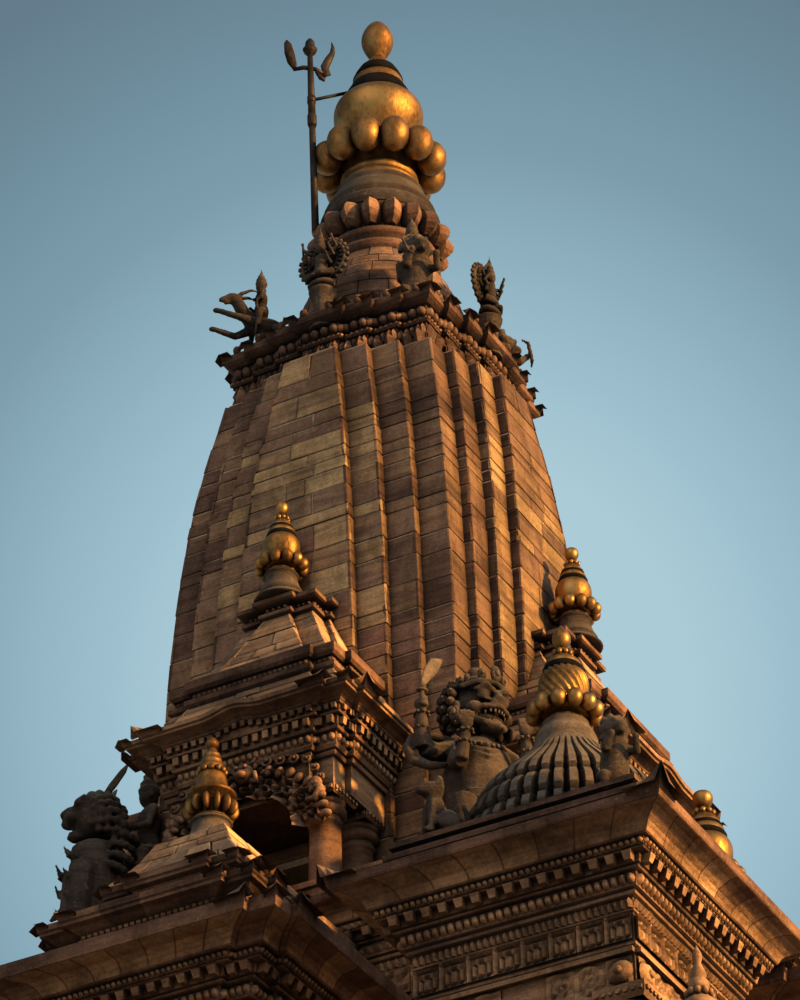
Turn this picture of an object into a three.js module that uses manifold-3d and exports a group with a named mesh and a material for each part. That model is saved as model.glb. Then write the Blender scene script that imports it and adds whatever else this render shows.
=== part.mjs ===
// Stone temple with a curved tower, three levels of pavilions and gilded finials.
// Millimetres, +Z up, origin at the centre of the base, front towards -Y.
import * as THREE from 'three';
import { mergeVertices } from 'three/addons/utils/BufferGeometryUtils.js';
import Module from 'manifold-3d';

const wasm = await Module();
wasm.setup();

// Clearance between pieces that are cut to fit each other.
const GAP = 0.4;

// Floor heights of the levels.
const PLINTH_TOP = 1500;
const SLAB_A_FOOT = 5200;
const TERRACE_A = 6900;
const SLAB_B_FOOT = 9300;
const TERRACE_B = 10100;
const SLAB_C_FOOT = 13150;
const TERRACE_C = 13900;

// Half widths in plan, from the axis to a flat face.
const ARCADE_HALF = 4750;
const CORE_GROUND_HALF = 3100;
const CORE_A_HALF = 3100;
const CORE_B_HALF = 1800;
const SLAB_B_HALF = 3450;
const SLAB_C_HALF = 2120;

// Where the pavilions stand on their terraces.
const CORNER_A = 3900;
const CORNER_B = 2590;
const MIDDLE_A = 3700;
const MIDDLE_B = 2320;

// Curved tower: height and half width at the set-back corner.
const TOWER_CURVE = [
  [13900, 1145], [16100, 1112], [17000, 1066], [17700, 1012], [18200, 946], [18600, 876], [18880, 815],
];
const TOWER_STEPS = 3;
const STEP_OUT_TOP = 81;
const STEP_OUT_FOOT = 50;
const BAND_TOP = 212;
const BAND_FOOT = 224;
const TOWER_TOP = 18880;
const CORNICE_TOP = 19320;
const STATUE_FOOT = 19270;
const CORNICE_STEP_OUT = 42;

// Stepped outline of the middle pavilions' roofs.
const TIER_STEP_OUT = 50;
const TIER_BAND = 180;

// Pavilion, measured from its own floor.
const WALL_HALF = 720;
const WALL_THICK = 210;
const ARCH_HALF = 420;
const ARCH_SPRING = 1180;
const CORNER_HEAD = 4010;
const MIDDLE_HEAD = 4270;

// Doorways of the two upper halls, which open into the middle pavilions.
const DOOR_HALF = 380;
const DOOR_FOOT = 180;
const DOOR_HEIGHT = 1750;

// Porch on each side of the tower.
const PORCH_HALF = 600;
const PORCH_FRONT = 1840;
const PORCH_LINTEL = 14480;
const PORCH_WALL_TOP = 14970;
const PORCH_FINIAL_FOOT = 16735;
const PORCH_FINIAL_OUT = 1465;

// Ring of lobes on the stone neck, and the foot of the gilded finial above it.
const NECK_LOBES = 13;
const NECK_LOBE_Z = 20640;
const FINIAL_FOOT = 21150;

// Trident: its pole's place in plan at the top, how far it leans, and the turn of its fork.
const TRIDENT_PLACE = [-380, -400];
const TRIDENT_LEAN = 45;
const TRIDENT_TURN = 37.5;

const SANDSTONE = 0x9a7150;
const DARK_STONE = 0x6a5140;
const GREY_STONE = 0x8f8778;
const GOLD = 0xc08a35;
const IRON = 0x2a2a2c;

// Makes a closed three.js geometry into a solid that can be joined and cut.
function solidOf(geometry) {
  const bare = geometry.clone();
  bare.deleteAttribute('normal');
  bare.deleteAttribute('uv');
  const merged = mergeVertices(bare, 0.001);
  const index = merged.index.array;
  const tris = [];
  for (let i = 0; i < index.length; i += 3) {
    const [a, b, c] = [index[i], index[i + 1], index[i + 2]];
    if (a !== b && b !== c && c !== a) tris.push(a, b, c);
  }
  const build = (order) => new wasm.Manifold(new wasm.Mesh({
    numProp: 3,
    vertProperties: new Float32Array(merged.attributes.position.array),
    triVerts: new Uint32Array(order),
  }));
  const solid = build(tris);
  if (solid.volume() > 0) return solid;
  const turned = [];
  for (let i = 0; i < tris.length; i += 3) turned.push(tris[i], tris[i + 2], tris[i + 1]);
  return build(turned);
}

function joined(...solids) {
  return solids.reduce((sum, piece) => sum.add(piece));
}

function moved(solid, x, y, z = 0) {
  return solid.translate([x, y, z]);
}

function turnedBy(solid, degrees) {
  return solid.rotate([0, 0, degrees]);
}

function box(x0, x1, y0, y1, z0, z1) {
  const geometry = new THREE.BoxGeometry(x1 - x0, y1 - y0, z1 - z0);
  geometry.translate((x0 + x1) / 2, (y0 + y1) / 2, (z0 + z1) / 2);
  return solidOf(geometry);
}

function block(half, z0, z1) {
  return box(-half, half, -half, half, z0, z1);
}

// Round solid about the vertical axis, from [radius, height] pairs.
function round(profile, sides) {
  const points = profile.map(([radius, height]) => new THREE.Vector2(radius, height));
  const geometry = new THREE.LatheGeometry(points, sides);
  geometry.rotateX(Math.PI / 2);
  return solidOf(geometry);
}

function ball(rx, ry, rz, x, y, z, across = 6, down = 4) {
  const geometry = new THREE.SphereGeometry(1, across, down);
  geometry.rotateX(Math.PI / 2);
  geometry.scale(rx, ry, rz);
  geometry.translate(x, y, z);
  return solidOf(geometry);
}

// Rod with a round section between two points.
function rod(from, to, radius, endRadius = radius, sides = 4) {
  const start = new THREE.Vector3(...from);
  const end = new THREE.Vector3(...to);
  const along = end.clone().sub(start);
  const geometry = new THREE.CylinderGeometry(endRadius, radius, along.length(), sides);
  const turn = new THREE.Quaternion().setFromUnitVectors(new THREE.Vector3(0, 1, 0), along.normalize());
  geometry.applyQuaternion(turn);
  geometry.translate(...start.add(end).multiplyScalar(0.5).toArray());
  return solidOf(geometry);
}

// Solid through a stack of flat outlines with the same number of corners.
// Each ring is { z, plan } and each plan is a list of [x, y].
function stacked(rings) {
  const corners = rings[0].plan.length;
  const positions = [];
  for (const ring of rings) {
    for (const [x, y] of ring.plan) positions.push(x, y, ring.z);
  }
  const index = [];
  for (let level = 0; level + 1 < rings.length; level += 1) {
    for (let i = 0; i < corners; i += 1) {
      const a = level * corners + i;
      const b = level * corners + (i + 1) % corners;
      index.push(a, b, b + corners, a, b + corners, a + corners);
    }
  }
  const cap = (ring, offset, up) => {
    const outline = ring.plan.map(([x, y]) => new THREE.Vector2(x, y));
    for (const [a, b, c] of THREE.ShapeUtils.triangulateShape(outline, [])) {
      if (up) index.push(offset + a, offset + b, offset + c);
      else index.push(offset + a, offset + c, offset + b);
    }
  };
  cap(rings[0], 0, false);
  cap(rings[rings.length - 1], (rings.length - 1) * corners, true);
  const geometry = new THREE.BufferGeometry();
  geometry.setAttribute('position', new THREE.Float32BufferAttribute(positions, 3));
  geometry.setIndex(index);
  return solidOf(geometry);
}

function squarePlan(half) {
  return [[-half, -half], [half, -half], [half, half], [-half, half]];
}

// Square solid with a moulded edge, from [half width, height] pairs.
function squareTurned(profile) {
  return stacked(profile.map(([half, z]) => ({ z, plan: squarePlan(half) })));
}

// Outline of a porch roof with set-back corners, from the tower out to a front line at -Y.
function porchPlan(half, front) {
  const back = -900;
  const corner = 150;
  const out = 45;
  return [
    [-half, -front], [-half + corner, -front], [-half + corner, -front - out],
    [half - corner, -front - out], [half - corner, -front], [half, -front],
    [half, -front + corner], [half + out, -front + corner], [half + out, back],
    [-half - out, back], [-half - out, -front + corner], [-half, -front + corner],
  ];
}

// Upright opening with an arched head, running along Y.
function archOpening(half, foot, spring, rise, y0, y1, curveSegments = 2) {
  const shape = new THREE.Shape();
  shape.moveTo(-half, foot);
  shape.lineTo(half, foot);
  shape.lineTo(half, spring);
  shape.quadraticCurveTo(half * 0.95, spring + rise * 0.8, 0, spring + rise);
  shape.quadraticCurveTo(-half * 0.95, spring + rise * 0.8, -half, spring);
  const geometry = new THREE.ExtrudeGeometry(shape, { depth: y1 - y0, bevelEnabled: false, curveSegments });
  geometry.rotateX(Math.PI / 2);
  geometry.translate(0, y1, 0);
  return solidOf(geometry);
}

// Stepped square outline: set-back corners and a wide middle on each face.
function towerPlan(half, stepOut, band, steps = TOWER_STEPS) {
  const outline = [];
  for (let face = 0; face < 4; face += 1) {
    const turn = ([x, y]) => {
      if (face === 0) return [x, y];
      if (face === 1) return [-y, x];
      if (face === 2) return [-x, -y];
      return [y, -x];
    };
    outline.push(turn([-half, -half]));
    for (let i = 1; i <= steps; i += 1) {
      const x = half - i * band;
      outline.push(turn([-x, -(half + (i - 1) * stepOut)]), turn([-x, -(half + i * stepOut)]));
    }
    for (let i = steps; i >= 1; i -= 1) {
      const x = half - i * band;
      outline.push(turn([x, -(half + i * stepOut)]), turn([x, -(half + (i - 1) * stepOut)]));
    }
  }
  return outline;
}

function towerRing(z, half, grow = 0) {
  const share = (TOWER_TOP - z) / (TOWER_TOP - TERRACE_C);
  const stepOut = STEP_OUT_TOP + (STEP_OUT_FOOT - STEP_OUT_TOP) * share;
  const band = BAND_TOP + (BAND_FOOT - BAND_TOP) * share;
  return { z, plan: towerPlan(half + grow, stepOut, band) };
}

// Stepped base that the whole temple stands on.
function plinth() {
  return squareTurned([
    [6200, 0], [6200, 400], [5850, 400], [5850, 800], [5500, 800],
    [5500, 1150], [5200, 1150], [5200, PLINTH_TOP],
  ]);
}

// One side of the ground arcade: five arches between piers.
function arcadeSide(length, endPiers) {
  const bay = 1800;
  const thick = 500;
  const back = -ARCADE_HALF + thick;
  let wall = box(-length / 2, length / 2, -ARCADE_HALF, back, PLINTH_TOP, SLAB_A_FOOT);
  const opening = archOpening(590, PLINTH_TOP - 10, 3900, 650, -ARCADE_HALF - 100, back + 100, 4);
  for (let i = -2; i <= 2; i += 1) wall = wall.subtract(moved(opening, i * bay, 0));
  for (let i = 0; i < 6; i += 1) {
    const x = (i - 2.5) * bay;
    const foot = box(x - 250, x + 250, -ARCADE_HALF - 60, -ARCADE_HALF + 10, PLINTH_TOP, PLINTH_TOP + 320);
    const head = box(x - 250, x + 250, -ARCADE_HALF - 60, -ARCADE_HALF + 10, 3700, 3900);
    if (endPiers || (i > 0 && i < 5)) wall = joined(wall, foot, head);
  }
  return wall;
}

// Square hall with a doorway in the middle of each side.
function coreWalls(half, thick, foot, head, doorHalf, doorHeight) {
  let walls = block(half, foot, head).subtract(block(half - thick, foot - 10, head + 10));
  const door = box(-doorHalf, doorHalf, -half - 100, half + 100, foot - 10, foot + doorHeight);
  walls = walls.subtract(door).subtract(turnedBy(door, 90));
  return walls;
}

function slabA() {
  return squareTurned([
    [4780, SLAB_A_FOOT], [4780, 5330], [4900, 5400], [4900, 5560], [5010, 5640], [5010, 5790],
    [5230, 5950], [5230, 6090], [5000, 6230], [4950, 6500], [4950, TERRACE_A],
  ]);
}

function slabB() {
  return squareTurned([
    [3130, SLAB_B_FOOT], [3130, 9430], [3230, 9500], [3230, 9620], [3320, 9680], [3320, 9780],
    [SLAB_B_HALF, 9850], [SLAB_B_HALF, 9970], [3420, 10000], [3420, TERRACE_B],
  ]);
}

function slabC() {
  return squareTurned([
    [1830, SLAB_C_FOOT], [1830, 13260], [1920, 13330], [1920, 13440], [2010, 13500], [2010, 13590],
    [SLAB_C_HALF, 13650], [SLAB_C_HALF, 13760], [2070, 13790], [2070, TERRACE_C],
  ]);
}

// Open square room with an arch on each side and a solid lintel above.
function openRoom(half, wallTop) {
  const inner = half - WALL_THICK;
  let room = block(half, 150, wallTop);
  room = room.subtract(block(inner, 180, 1900));
  const arch = archOpening(ARCH_HALF, 180, ARCH_SPRING, 420, -half - 100, half + 100);
  room = room.subtract(arch).subtract(turnedBy(arch, 90));
  return joined(room, block(half + 60, 0, 180));
}

// Corner pavilion: room, deep cornice, ribbed dome and a grey stone bell.
function cornerPavilion() {
  const cornice = squareTurned([
    [WALL_HALF, 1950], [WALL_HALF, 2250], [WALL_HALF + 70, 2290], [WALL_HALF + 130, 2440],
    [WALL_HALF + 220, 2590], [1040, 2620], [1040, 2720], [760, 2850], [760, 2990], [690, 2990],
    [690, 3080],
  ]);
  const dome = round([
    [0, 3070], [650, 3070], [650, 3180], [580, 3310], [400, 3510], [240, 3790], [0, 3790],
  ], 9);
  const bell = round([
    [0, 3780], [215, 3780], [150, 3980], [150, CORNER_HEAD], [0, CORNER_HEAD],
  ], 8);
  return joined(openRoom(WALL_HALF, 2000), cornice, dome, bell);
}

// Middle pavilion: room, cornice and a roof in three spreading tiers with set-back corners.
function middlePavilion() {
  const half = 680;
  const profile = [
    [half, 1950], [half, 2480], [800, 2600], [860, 2680], [1130, 2810], [1130, 2880], [640, 3000],
    [640, 3200], [753, 3310], [753, 3380], [430, 3470], [420, 3570], [484, 3620], [484, 3670], [330, 3870],
    [215, 4060],
  ];
  const roof = stacked(profile.map(([width, z]) => ({
    z,
    plan: towerPlan(width, TIER_STEP_OUT, TIER_BAND, 1),
  })));
  const bell = round([[0, 4050], [200, 4050], [135, 4190], [115, MIDDLE_HEAD], [0, MIDDLE_HEAD]], 8);
  return joined(openRoom(half, 2500), roof, bell);
}

// Ring of lobes round the vertical axis: a scalloped outline that swells at mid height.
function lobedRing(lobes, inner, outer, foot, height) {
  const plan = (share) => {
    const outline = [];
    for (let i = 0; i < 2 * lobes; i += 1) {
      const angle = (i / lobes) * Math.PI;
      const radius = inner + (i % 2 ? 0.35 : 1) * (outer - inner) * share;
      outline.push([radius * Math.cos(angle), radius * Math.sin(angle)]);
    }
    return outline;
  };
  return stacked([
    { z: foot, plan: plan(0.15) }, { z: foot + height * 0.45, plan: plan(1) }, { z: foot + height, plan: plan(0.15) },
  ]);
}

// Gilded pot finial with a ring of lobes, a banded cone and a bud.
function potFinial(width, height) {
  const profile = [
    [0, 0], [125, 0], [130, 220], [155, 300], [155, 395], [80, 495], [26, 555], [54, 620], [0, 695],
  ];
  const core = round(profile.map(([r, z]) => [r * width, z * height]), 7);
  return joined(core, lobedRing(7, 110 * width, 222 * width, 60 * height, 140 * height));
}

// Gilded finial with a bell drum on a ring of lobes, under a ringed spire.
function spireFinial() {
  const core = round([
    [0, 0], [115, 0], [125, 150], [155, 185], [118, 215], [85, 345], [95, 370], [26, 520], [44, 565], [0, 615],
  ], 8);
  return joined(core, lobedRing(8, 95, 178, 40, 115));
}

// Slim stone finial of the lower pavilions: a drum, a small pot, rings and a bud.
function slimFinial() {
  return round([
    [0, 0], [130, 0], [95, 240], [95, 450], [52, 550], [18, 670], [24, 710], [0, 755],
  ], 6);
}

// Open porch against the foot of the tower, with its own small curved roof.
function porch() {
  const front = PORCH_FRONT;
  const slab = (half, out, z) => ({ z, plan: porchPlan(half, out) });
  const lintel = stacked([
    slab(PORCH_HALF, front, PORCH_LINTEL + 200), slab(PORCH_HALF, front, PORCH_WALL_TOP),
    slab(PORCH_HALF + 150, front + 140, 15200), slab(820, 2045, 15240), slab(820, 2045, 15320),
    slab(560, 1800, 15520), slab(540, 1780, 15630), slab(600, 1840, 15680), slab(600, 1840, 15780),
    slab(480, 1720, 15850), slab(390, 1640, 16130), slab(270, 1530, 16290), slab(330, 1610, 16390),
    slab(330, 1610, 16460),
  ]);
  const tympanum = box(-PORCH_HALF + 80, PORCH_HALF - 80, -front + 10, -front + 150, PORCH_LINTEL - 60, 14700)
    .subtract(archOpening(380, 13900, 14380, 240, -front - 50, -front + 300));
  let frame = joined(lintel, tympanum, moved(round([
    [0, 16450], [205, 16450], [150, 16600], [112, 16700], [112, PORCH_FINIAL_FOOT], [0, PORCH_FINIAL_FOOT],
  ], 8), 0, -PORCH_FINIAL_OUT));
  for (const side of [-1, 1]) {
    for (const [y, radius] of [[-front + 110, 95], [-1330, 100]]) {
      const x = side * (PORCH_HALF - 110);
      const column = joined(
        box(x - 115, x + 115, y - 115, y + 115, TERRACE_C, TERRACE_C + 90),
        moved(round([
          [0, TERRACE_C + 80], [radius, TERRACE_C + 80], [radius, PORCH_LINTEL - 20],
          [120, PORCH_LINTEL + 130], [0, PORCH_LINTEL + 130],
        ], 5), x, y),
        box(x - 130, x + 130, y - 130, y + 130, PORCH_LINTEL + 120, PORCH_LINTEL + 210),
      );
      frame = joined(frame, column);
    }
  }
  return frame;
}

// Tower with its curved, stepped faces and a shallow niche behind each porch.
function tower(grow = 0, niches = true) {
  let body = stacked(TOWER_CURVE.map(([z, half]) => towerRing(z, half, grow)));
  if (!niches) return body;
  const niche = box(-300, 300, -1500, -850, TERRACE_C - 10, 14560);
  for (const angle of [0, 90, 180, 270]) body = body.subtract(turnedBy(niche, angle));
  return body;
}

// Leaping horned beast with a crowned rider, for a corner of the tower's cornice. It faces -Y.
function leapingBeast() {
  return joined(
    rod([0, 60, -10], [0, 60, 380], 90, 60),
    ball(95, 170, 110, 0, 0, 410, 6, 3),
    rod([0, -60, 420], [0, -225, 620], 75, 55),
    ball(60, 110, 65, 0, -235, 640, 6, 3),
    rod([50, -80, 430], [60, -360, 430], 38, 20, 3),
    rod([-50, -80, 450], [-60, -310, 530], 38, 20, 3),
    rod([0, 40, 430], [0, 40, 880], 75, 55),
    rod([0, 40, 860], [0, 40, 1010], 58, 8),
  );
}

// Upright lion with a crowned rider on its back, for a corner of the tower's cornice. It faces -Y.
function rearingLion() {
  return joined(
    rod([0, 20, -10], [0, -20, 520], 150, 120, 6),
    ball(120, 120, 120, 0, -60, 590, 6, 3),
    rod([70, -60, 420], [100, -170, 330], 45, 30, 3),
    rod([-70, -60, 420], [-100, -170, 330], 45, 30, 3),
    rod([0, 90, 300], [0, 70, 870], 80, 62),
    rod([0, 70, 850], [0, 70, 1040], 66, 8),
  );
}

// Seated figure in front of a round halo, for the middle of a cornice face. It faces -Y.
function haloFigure() {
  return joined(
    box(-150, 150, -60, 70, -10, 200),
    rod([0, 70, 600], [0, 10, 600], 205, 205, 10),
    box(-60, 60, 10, 60, 180, 500),
    ball(110, 90, 190, 0, -20, 350, 6, 3),
    rod([0, -30, 480], [0, -5, 970], 80, 12, 5),
  );
}

// Slab at the tower's head, with the statues that stand on it.
function towerCornice() {
  const step = (half, z) => ({ z, plan: towerPlan(half, CORNICE_STEP_OUT, BAND_TOP) });
  let slab = stacked([
    step(790, TOWER_TOP), step(815, 18970), step(815, 19090), step(858, 19200), step(858, CORNICE_TOP),
  ]);
  for (const angle of [0, 90, 180, 270]) {
    const beast = angle === 270 ? leapingBeast() : rearingLion();
    const corner = moved(turnedBy(beast, 45), 655, -655, STATUE_FOOT);
    const figure = moved(haloFigure(), 0, -925, STATUE_FOOT);
    slab = joined(slab, turnedBy(corner, angle), turnedBy(figure, angle));
  }
  return slab;
}

// Flared stone neck, its ring of lobes and the grey bell above.
function towerNeck() {
  const neck = round([
    [0, CORNICE_TOP], [740, CORNICE_TOP], [700, 19600], [620, 19880], [525, 20080], [420, 20270],
    [345, 20400], [365, 20460], [330, 20530], [430, 20600], [430, 20800], [365, 20990], [300, 21100],
    [290, FINIAL_FOOT], [0, FINIAL_FOOT],
  ], 12);
  return joined(neck, lobedRing(NECK_LOBES, 400, 575, NECK_LOBE_Z - 105, 210));
}

// Great gilded finial: base ring, lobes, pot, banded cone and bud.
function topFinial() {
  const foot = FINIAL_FOOT;
  let finial = round([
    [0, foot], [285, foot], [285, foot + 80], [240, foot + 110], [330, foot + 230], [290, foot + 600],
    [342, foot + 730], [342, foot + 850], [215, foot + 1040], [50, foot + 1400], [118, foot + 1510],
    [118, foot + 1600], [0, foot + 1745],
  ], 12);
  const lobes = 12;
  for (let i = 0; i < lobes; i += 1) {
    const angle = ((i + 0.5) / lobes) * Math.PI * 2;
    finial = finial.add(ball(108, 108, 140, 420 * Math.cos(angle), 420 * Math.sin(angle), foot + 245));
  }
  return finial;
}

// Iron trident on a tall pole, tied to the pot by a strut.
function trident() {
  const [x, y] = TRIDENT_PLACE;
  const fork = joined(
    rod([-125, 0, 22270], [125, 0, 22270], 16),
    rod([-120, 0, 22260], [-165, 0, 22520], 32, 6),
    rod([120, 0, 22220], [165, 0, 22520], 32, 6),
  );
  const whole = joined(
    rod([x + TRIDENT_LEAN, y, 20560], [x, y, 22480], 24, 18),
    moved(turnedBy(fork, TRIDENT_TURN), x, y),
    ball(38, 38, 62, x, y, 22505),
    rod([x, y, 21930], [x * 0.4, y * 0.4, 22100], 12),
  );
  const carriers = joined(towerNeck(), topFinial());
  return whole.subtract(moved(carriers, -GAP, -GAP, GAP)).subtract(moved(carriers, -GAP, -GAP));
}

// Stone block under a guardian.
function guardianBase() {
  return box(-240, 240, -240, 240, TERRACE_C, TERRACE_C + 420);
}

// Broad fierce guard with a raised arm, facing -Y.
function swordGuard() {
  const foot = TERRACE_C + 400;
  const body = round([
    [0, foot - 10], [215, foot - 10], [175, foot + 260], [245, foot + 560], [150, foot + 720], [0, foot + 720],
  ], 7);
  return joined(
    guardianBase(),
    body,
    ball(235, 240, 265, 0, -50, foot + 880),
    ball(50, 50, 60, 40, -30, foot + 1170),
    rod([-150, -60, foot + 560], [-330, -120, foot + 660], 75, 55),
    rod([-325, -118, foot + 620], [-335, -130, foot + 900], 62, 42),
    rod([-335, -130, foot + 860], [-180, -100, foot + 1150], 30, 14),
    rod([150, -60, foot + 560], [300, -140, foot + 380], 75, 60),
  );
}

// Seated maned beast with tall ears and a rider on its back, facing -Y.
function manedBeast() {
  const foot = TERRACE_C + 400;
  return joined(
    guardianBase(),
    ball(190, 285, 240, 0, -10, foot + 210, 7, 4),
    rod([110, -130, foot - 10], [90, -150, foot + 560], 65, 95, 5),
    rod([-110, -130, foot - 10], [-90, -150, foot + 560], 65, 95, 5),
    ball(215, 210, 245, 0, -57, foot + 980, 7, 4),
    ball(110, 110, 90, 0, -180, foot + 940),
    rod([0, 0, foot + 300], [0, -60, foot + 880], 190, 150, 6),
    rod([110, -30, foot + 1090], [170, 100, foot + 1380], 45, 10, 3),
    rod([-110, -30, foot + 1090], [-170, 100, foot + 1380], 45, 10, 3),
    rod([0, 200, foot + 200], [0, 275, foot + 1180], 75, 75, 5),
    ball(75, 75, 90, 0, 270, foot + 1240, 6, 3),
  );
}

const group = new THREE.Group();

function addPiece(name, solid, colour, metal = 0) {
  const mesh = solid.getMesh();
  const geometry = new THREE.BufferGeometry();
  geometry.setAttribute('position', new THREE.Float32BufferAttribute(mesh.vertProperties, 3));
  geometry.setIndex(new THREE.Uint32BufferAttribute(mesh.triVerts, 1));
  geometry.computeVertexNormals();
  const material = new THREE.MeshStandardMaterial({
    color: colour,
    metalness: metal,
    roughness: metal ? 0.35 : 0.9,
  });
  const piece = new THREE.Mesh(geometry, material);
  piece.name = name;
  group.add(piece);
}

const FACES = [['front', 0], ['right', 90], ['back', 180], ['left', 270]];
const CORNERS = [['front_right', 0], ['back_right', 90], ['back_left', 180], ['front_left', 270]];

// Eight pavilions round one terrace, cut by the hall and the slab behind them.
function addLevel(letter, floor, cornerOut, middleOut, envelope, gilded) {
  const corner = moved(cornerPavilion(), cornerOut, -cornerOut, floor);
  const way = box(-DOOR_HALF, DOOR_HALF, -middleOut, 0, floor + DOOR_FOOT, floor + DOOR_HEIGHT);
  const middle = moved(middlePavilion(), 0, -middleOut, floor).subtract(way);
  const cornerBody = gilded ? corner : joined(corner, moved(slimFinial(), cornerOut, -cornerOut, floor + CORNER_HEAD - 20));
  const middleBody = gilded ? middle : joined(middle, moved(slimFinial(), 0, -middleOut, floor + MIDDLE_HEAD - 20));
  const cutCorner = cornerBody.subtract(envelope);
  const cutMiddle = middleBody.subtract(envelope);
  for (const [name, angle] of CORNERS) {
    addPiece(`corner_pavilion_${letter}_${name}`, turnedBy(cutCorner, angle), SANDSTONE);
  }
  for (const [name, angle] of FACES) {
    addPiece(`middle_pavilion_${letter}_${name}`, turnedBy(cutMiddle, angle), SANDSTONE);
  }
  if (!gilded) return;
  const pot = moved(potFinial(1, 1), cornerOut, -cornerOut, floor + CORNER_HEAD);
  for (const [name, angle] of CORNERS) addPiece(`corner_finial_${name}`, turnedBy(pot, angle), GOLD, 1);
  const middlePot = moved(potFinial(0.9, 0.88), 0, -middleOut, floor + MIDDLE_HEAD);
  const spire = moved(spireFinial(), 0, -middleOut, floor + MIDDLE_HEAD);
  for (const [name, angle] of FACES) {
    addPiece(`middle_finial_${name}`, turnedBy(name === 'front' ? spire : middlePot, angle), GOLD, 1);
  }
}

addPiece('plinth', plinth(), DARK_STONE);
for (const [name, angle] of FACES) {
  const whole = name === 'front' || name === 'back';
  const length = whole ? 2 * ARCADE_HALF : 2 * (ARCADE_HALF - 500) - 2 * GAP;
  addPiece(`arcade_${name}`, turnedBy(arcadeSide(length, whole), angle), SANDSTONE);
}
addPiece('hall_ground', coreWalls(CORE_GROUND_HALF, 450, PLINTH_TOP, SLAB_A_FOOT, 500, 2300), SANDSTONE);
addPiece('cornice_terrace_ground', slabA(), DARK_STONE);

addPiece('hall_lower', coreWalls(CORE_A_HALF, 450, TERRACE_A, SLAB_B_FOOT, DOOR_HALF, DOOR_HEIGHT), SANDSTONE);
addPiece('cornice_terrace_lower', slabB(), DARK_STONE);
const envelopeA = joined(
  block(CORE_A_HALF + GAP, TERRACE_A - 10, SLAB_B_FOOT + 10),
  block(SLAB_B_HALF + GAP, SLAB_B_FOOT - GAP, TERRACE_B + 3000),
);
addLevel('lower', TERRACE_A, CORNER_A, MIDDLE_A, envelopeA, false);

addPiece('hall_upper', coreWalls(CORE_B_HALF, 400, TERRACE_B, SLAB_C_FOOT, DOOR_HALF, DOOR_HEIGHT), SANDSTONE);
addPiece('cornice_terrace_upper', slabC(), DARK_STONE);
const envelopeB = joined(
  block(CORE_B_HALF + GAP, TERRACE_B - 10, SLAB_C_FOOT + 10),
  block(SLAB_C_HALF + GAP, SLAB_C_FOOT - GAP, TERRACE_C + 3000),
);
addLevel('upper', TERRACE_B, CORNER_B, MIDDLE_B, envelopeB, true);

addPiece('tower', tower(), SANDSTONE);
const porchBody = porch().subtract(tower(GAP, false));
const porchFinial = moved(potFinial(0.78, 0.89), 0, -PORCH_FINIAL_OUT, PORCH_FINIAL_FOOT);
for (const [name, angle] of FACES) {
  addPiece(`porch_${name}`, turnedBy(porchBody, angle), SANDSTONE);
  addPiece(`porch_finial_${name}`, turnedBy(porchFinial, angle), GOLD, 1);
}
addPiece('tower_cornice', towerCornice(), DARK_STONE);
addPiece('tower_neck', towerNeck(), GREY_STONE);
addPiece('top_finial', topFinial(), GOLD, 1);
addPiece('trident', trident(), IRON, 1);
for (const [name, angle] of CORNERS) {
  const isGuard = name === 'front_right' || name === 'back_left';
  const statue = isGuard ? swordGuard() : manedBeast();
  addPiece(`guardian_${name}`, turnedBy(moved(turnedBy(statue, 45), 1400, -1400), angle), GREY_STONE);
}

export default group;
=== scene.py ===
# Looks of the stone temple: carved detail, materials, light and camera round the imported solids.
import random
from math import acos, atan2, cos, degrees, hypot, log, pi, radians, sin, sqrt

import bpy
import numpy as np
from mathutils import Matrix, Vector, noise


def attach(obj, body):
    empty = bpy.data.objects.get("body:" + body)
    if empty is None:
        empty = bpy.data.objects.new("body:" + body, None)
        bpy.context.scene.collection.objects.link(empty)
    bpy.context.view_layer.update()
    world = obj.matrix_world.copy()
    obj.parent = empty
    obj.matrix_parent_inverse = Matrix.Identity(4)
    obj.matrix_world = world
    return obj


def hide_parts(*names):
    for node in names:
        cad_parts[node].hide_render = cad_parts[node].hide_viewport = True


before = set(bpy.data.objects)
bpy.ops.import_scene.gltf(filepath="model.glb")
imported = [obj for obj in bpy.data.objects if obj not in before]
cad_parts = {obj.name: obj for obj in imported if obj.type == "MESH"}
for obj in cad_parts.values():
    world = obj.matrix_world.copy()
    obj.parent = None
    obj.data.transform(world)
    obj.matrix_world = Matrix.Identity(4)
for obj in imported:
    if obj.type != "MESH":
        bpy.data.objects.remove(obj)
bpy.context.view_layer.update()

RNG = random.Random(7)

# Floor heights and places of the levels, in metres, as in the solids.
TERRACE_A = 6.9
TERRACE_B = 10.1
TERRACE_C = 13.9
CORNER_A = 3.9
CORNER_B = 2.59
MIDDLE_A = 3.7
MIDDLE_B = 2.32
TOWER_TOP = 18.86
TOWER_TALL = 4.98
PORCH_FINIAL_OUT = 1.465
PORCH_FINIAL_FOOT = 16.735
PORCH_LINTEL = 14.7
GUARDIAN_OUT = 1.4
CORNICE_BEAST_PLACE = (0.64, -0.64, 19.28)
CORNICE_FIGURE_PLACE = (0, -0.89, 19.57)

# Feet of the finials above the floors of their pavilions.
CORNER_HEAD = 4.01
MIDDLE_HEAD = 4.27

# Ground storey: top of the base, width of a bay, foot of the arches' curve, and how far the arcade,
# the panels on it and the hall behind it stand out from the middle.
PLINTH_TOP = 1.5
BAY = 1.8
ARCH_SPRING = 3.9
ARCADE_FACE = 4.75
PANEL_FACE = 4.755
DOOR_FACE = 3.1

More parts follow.
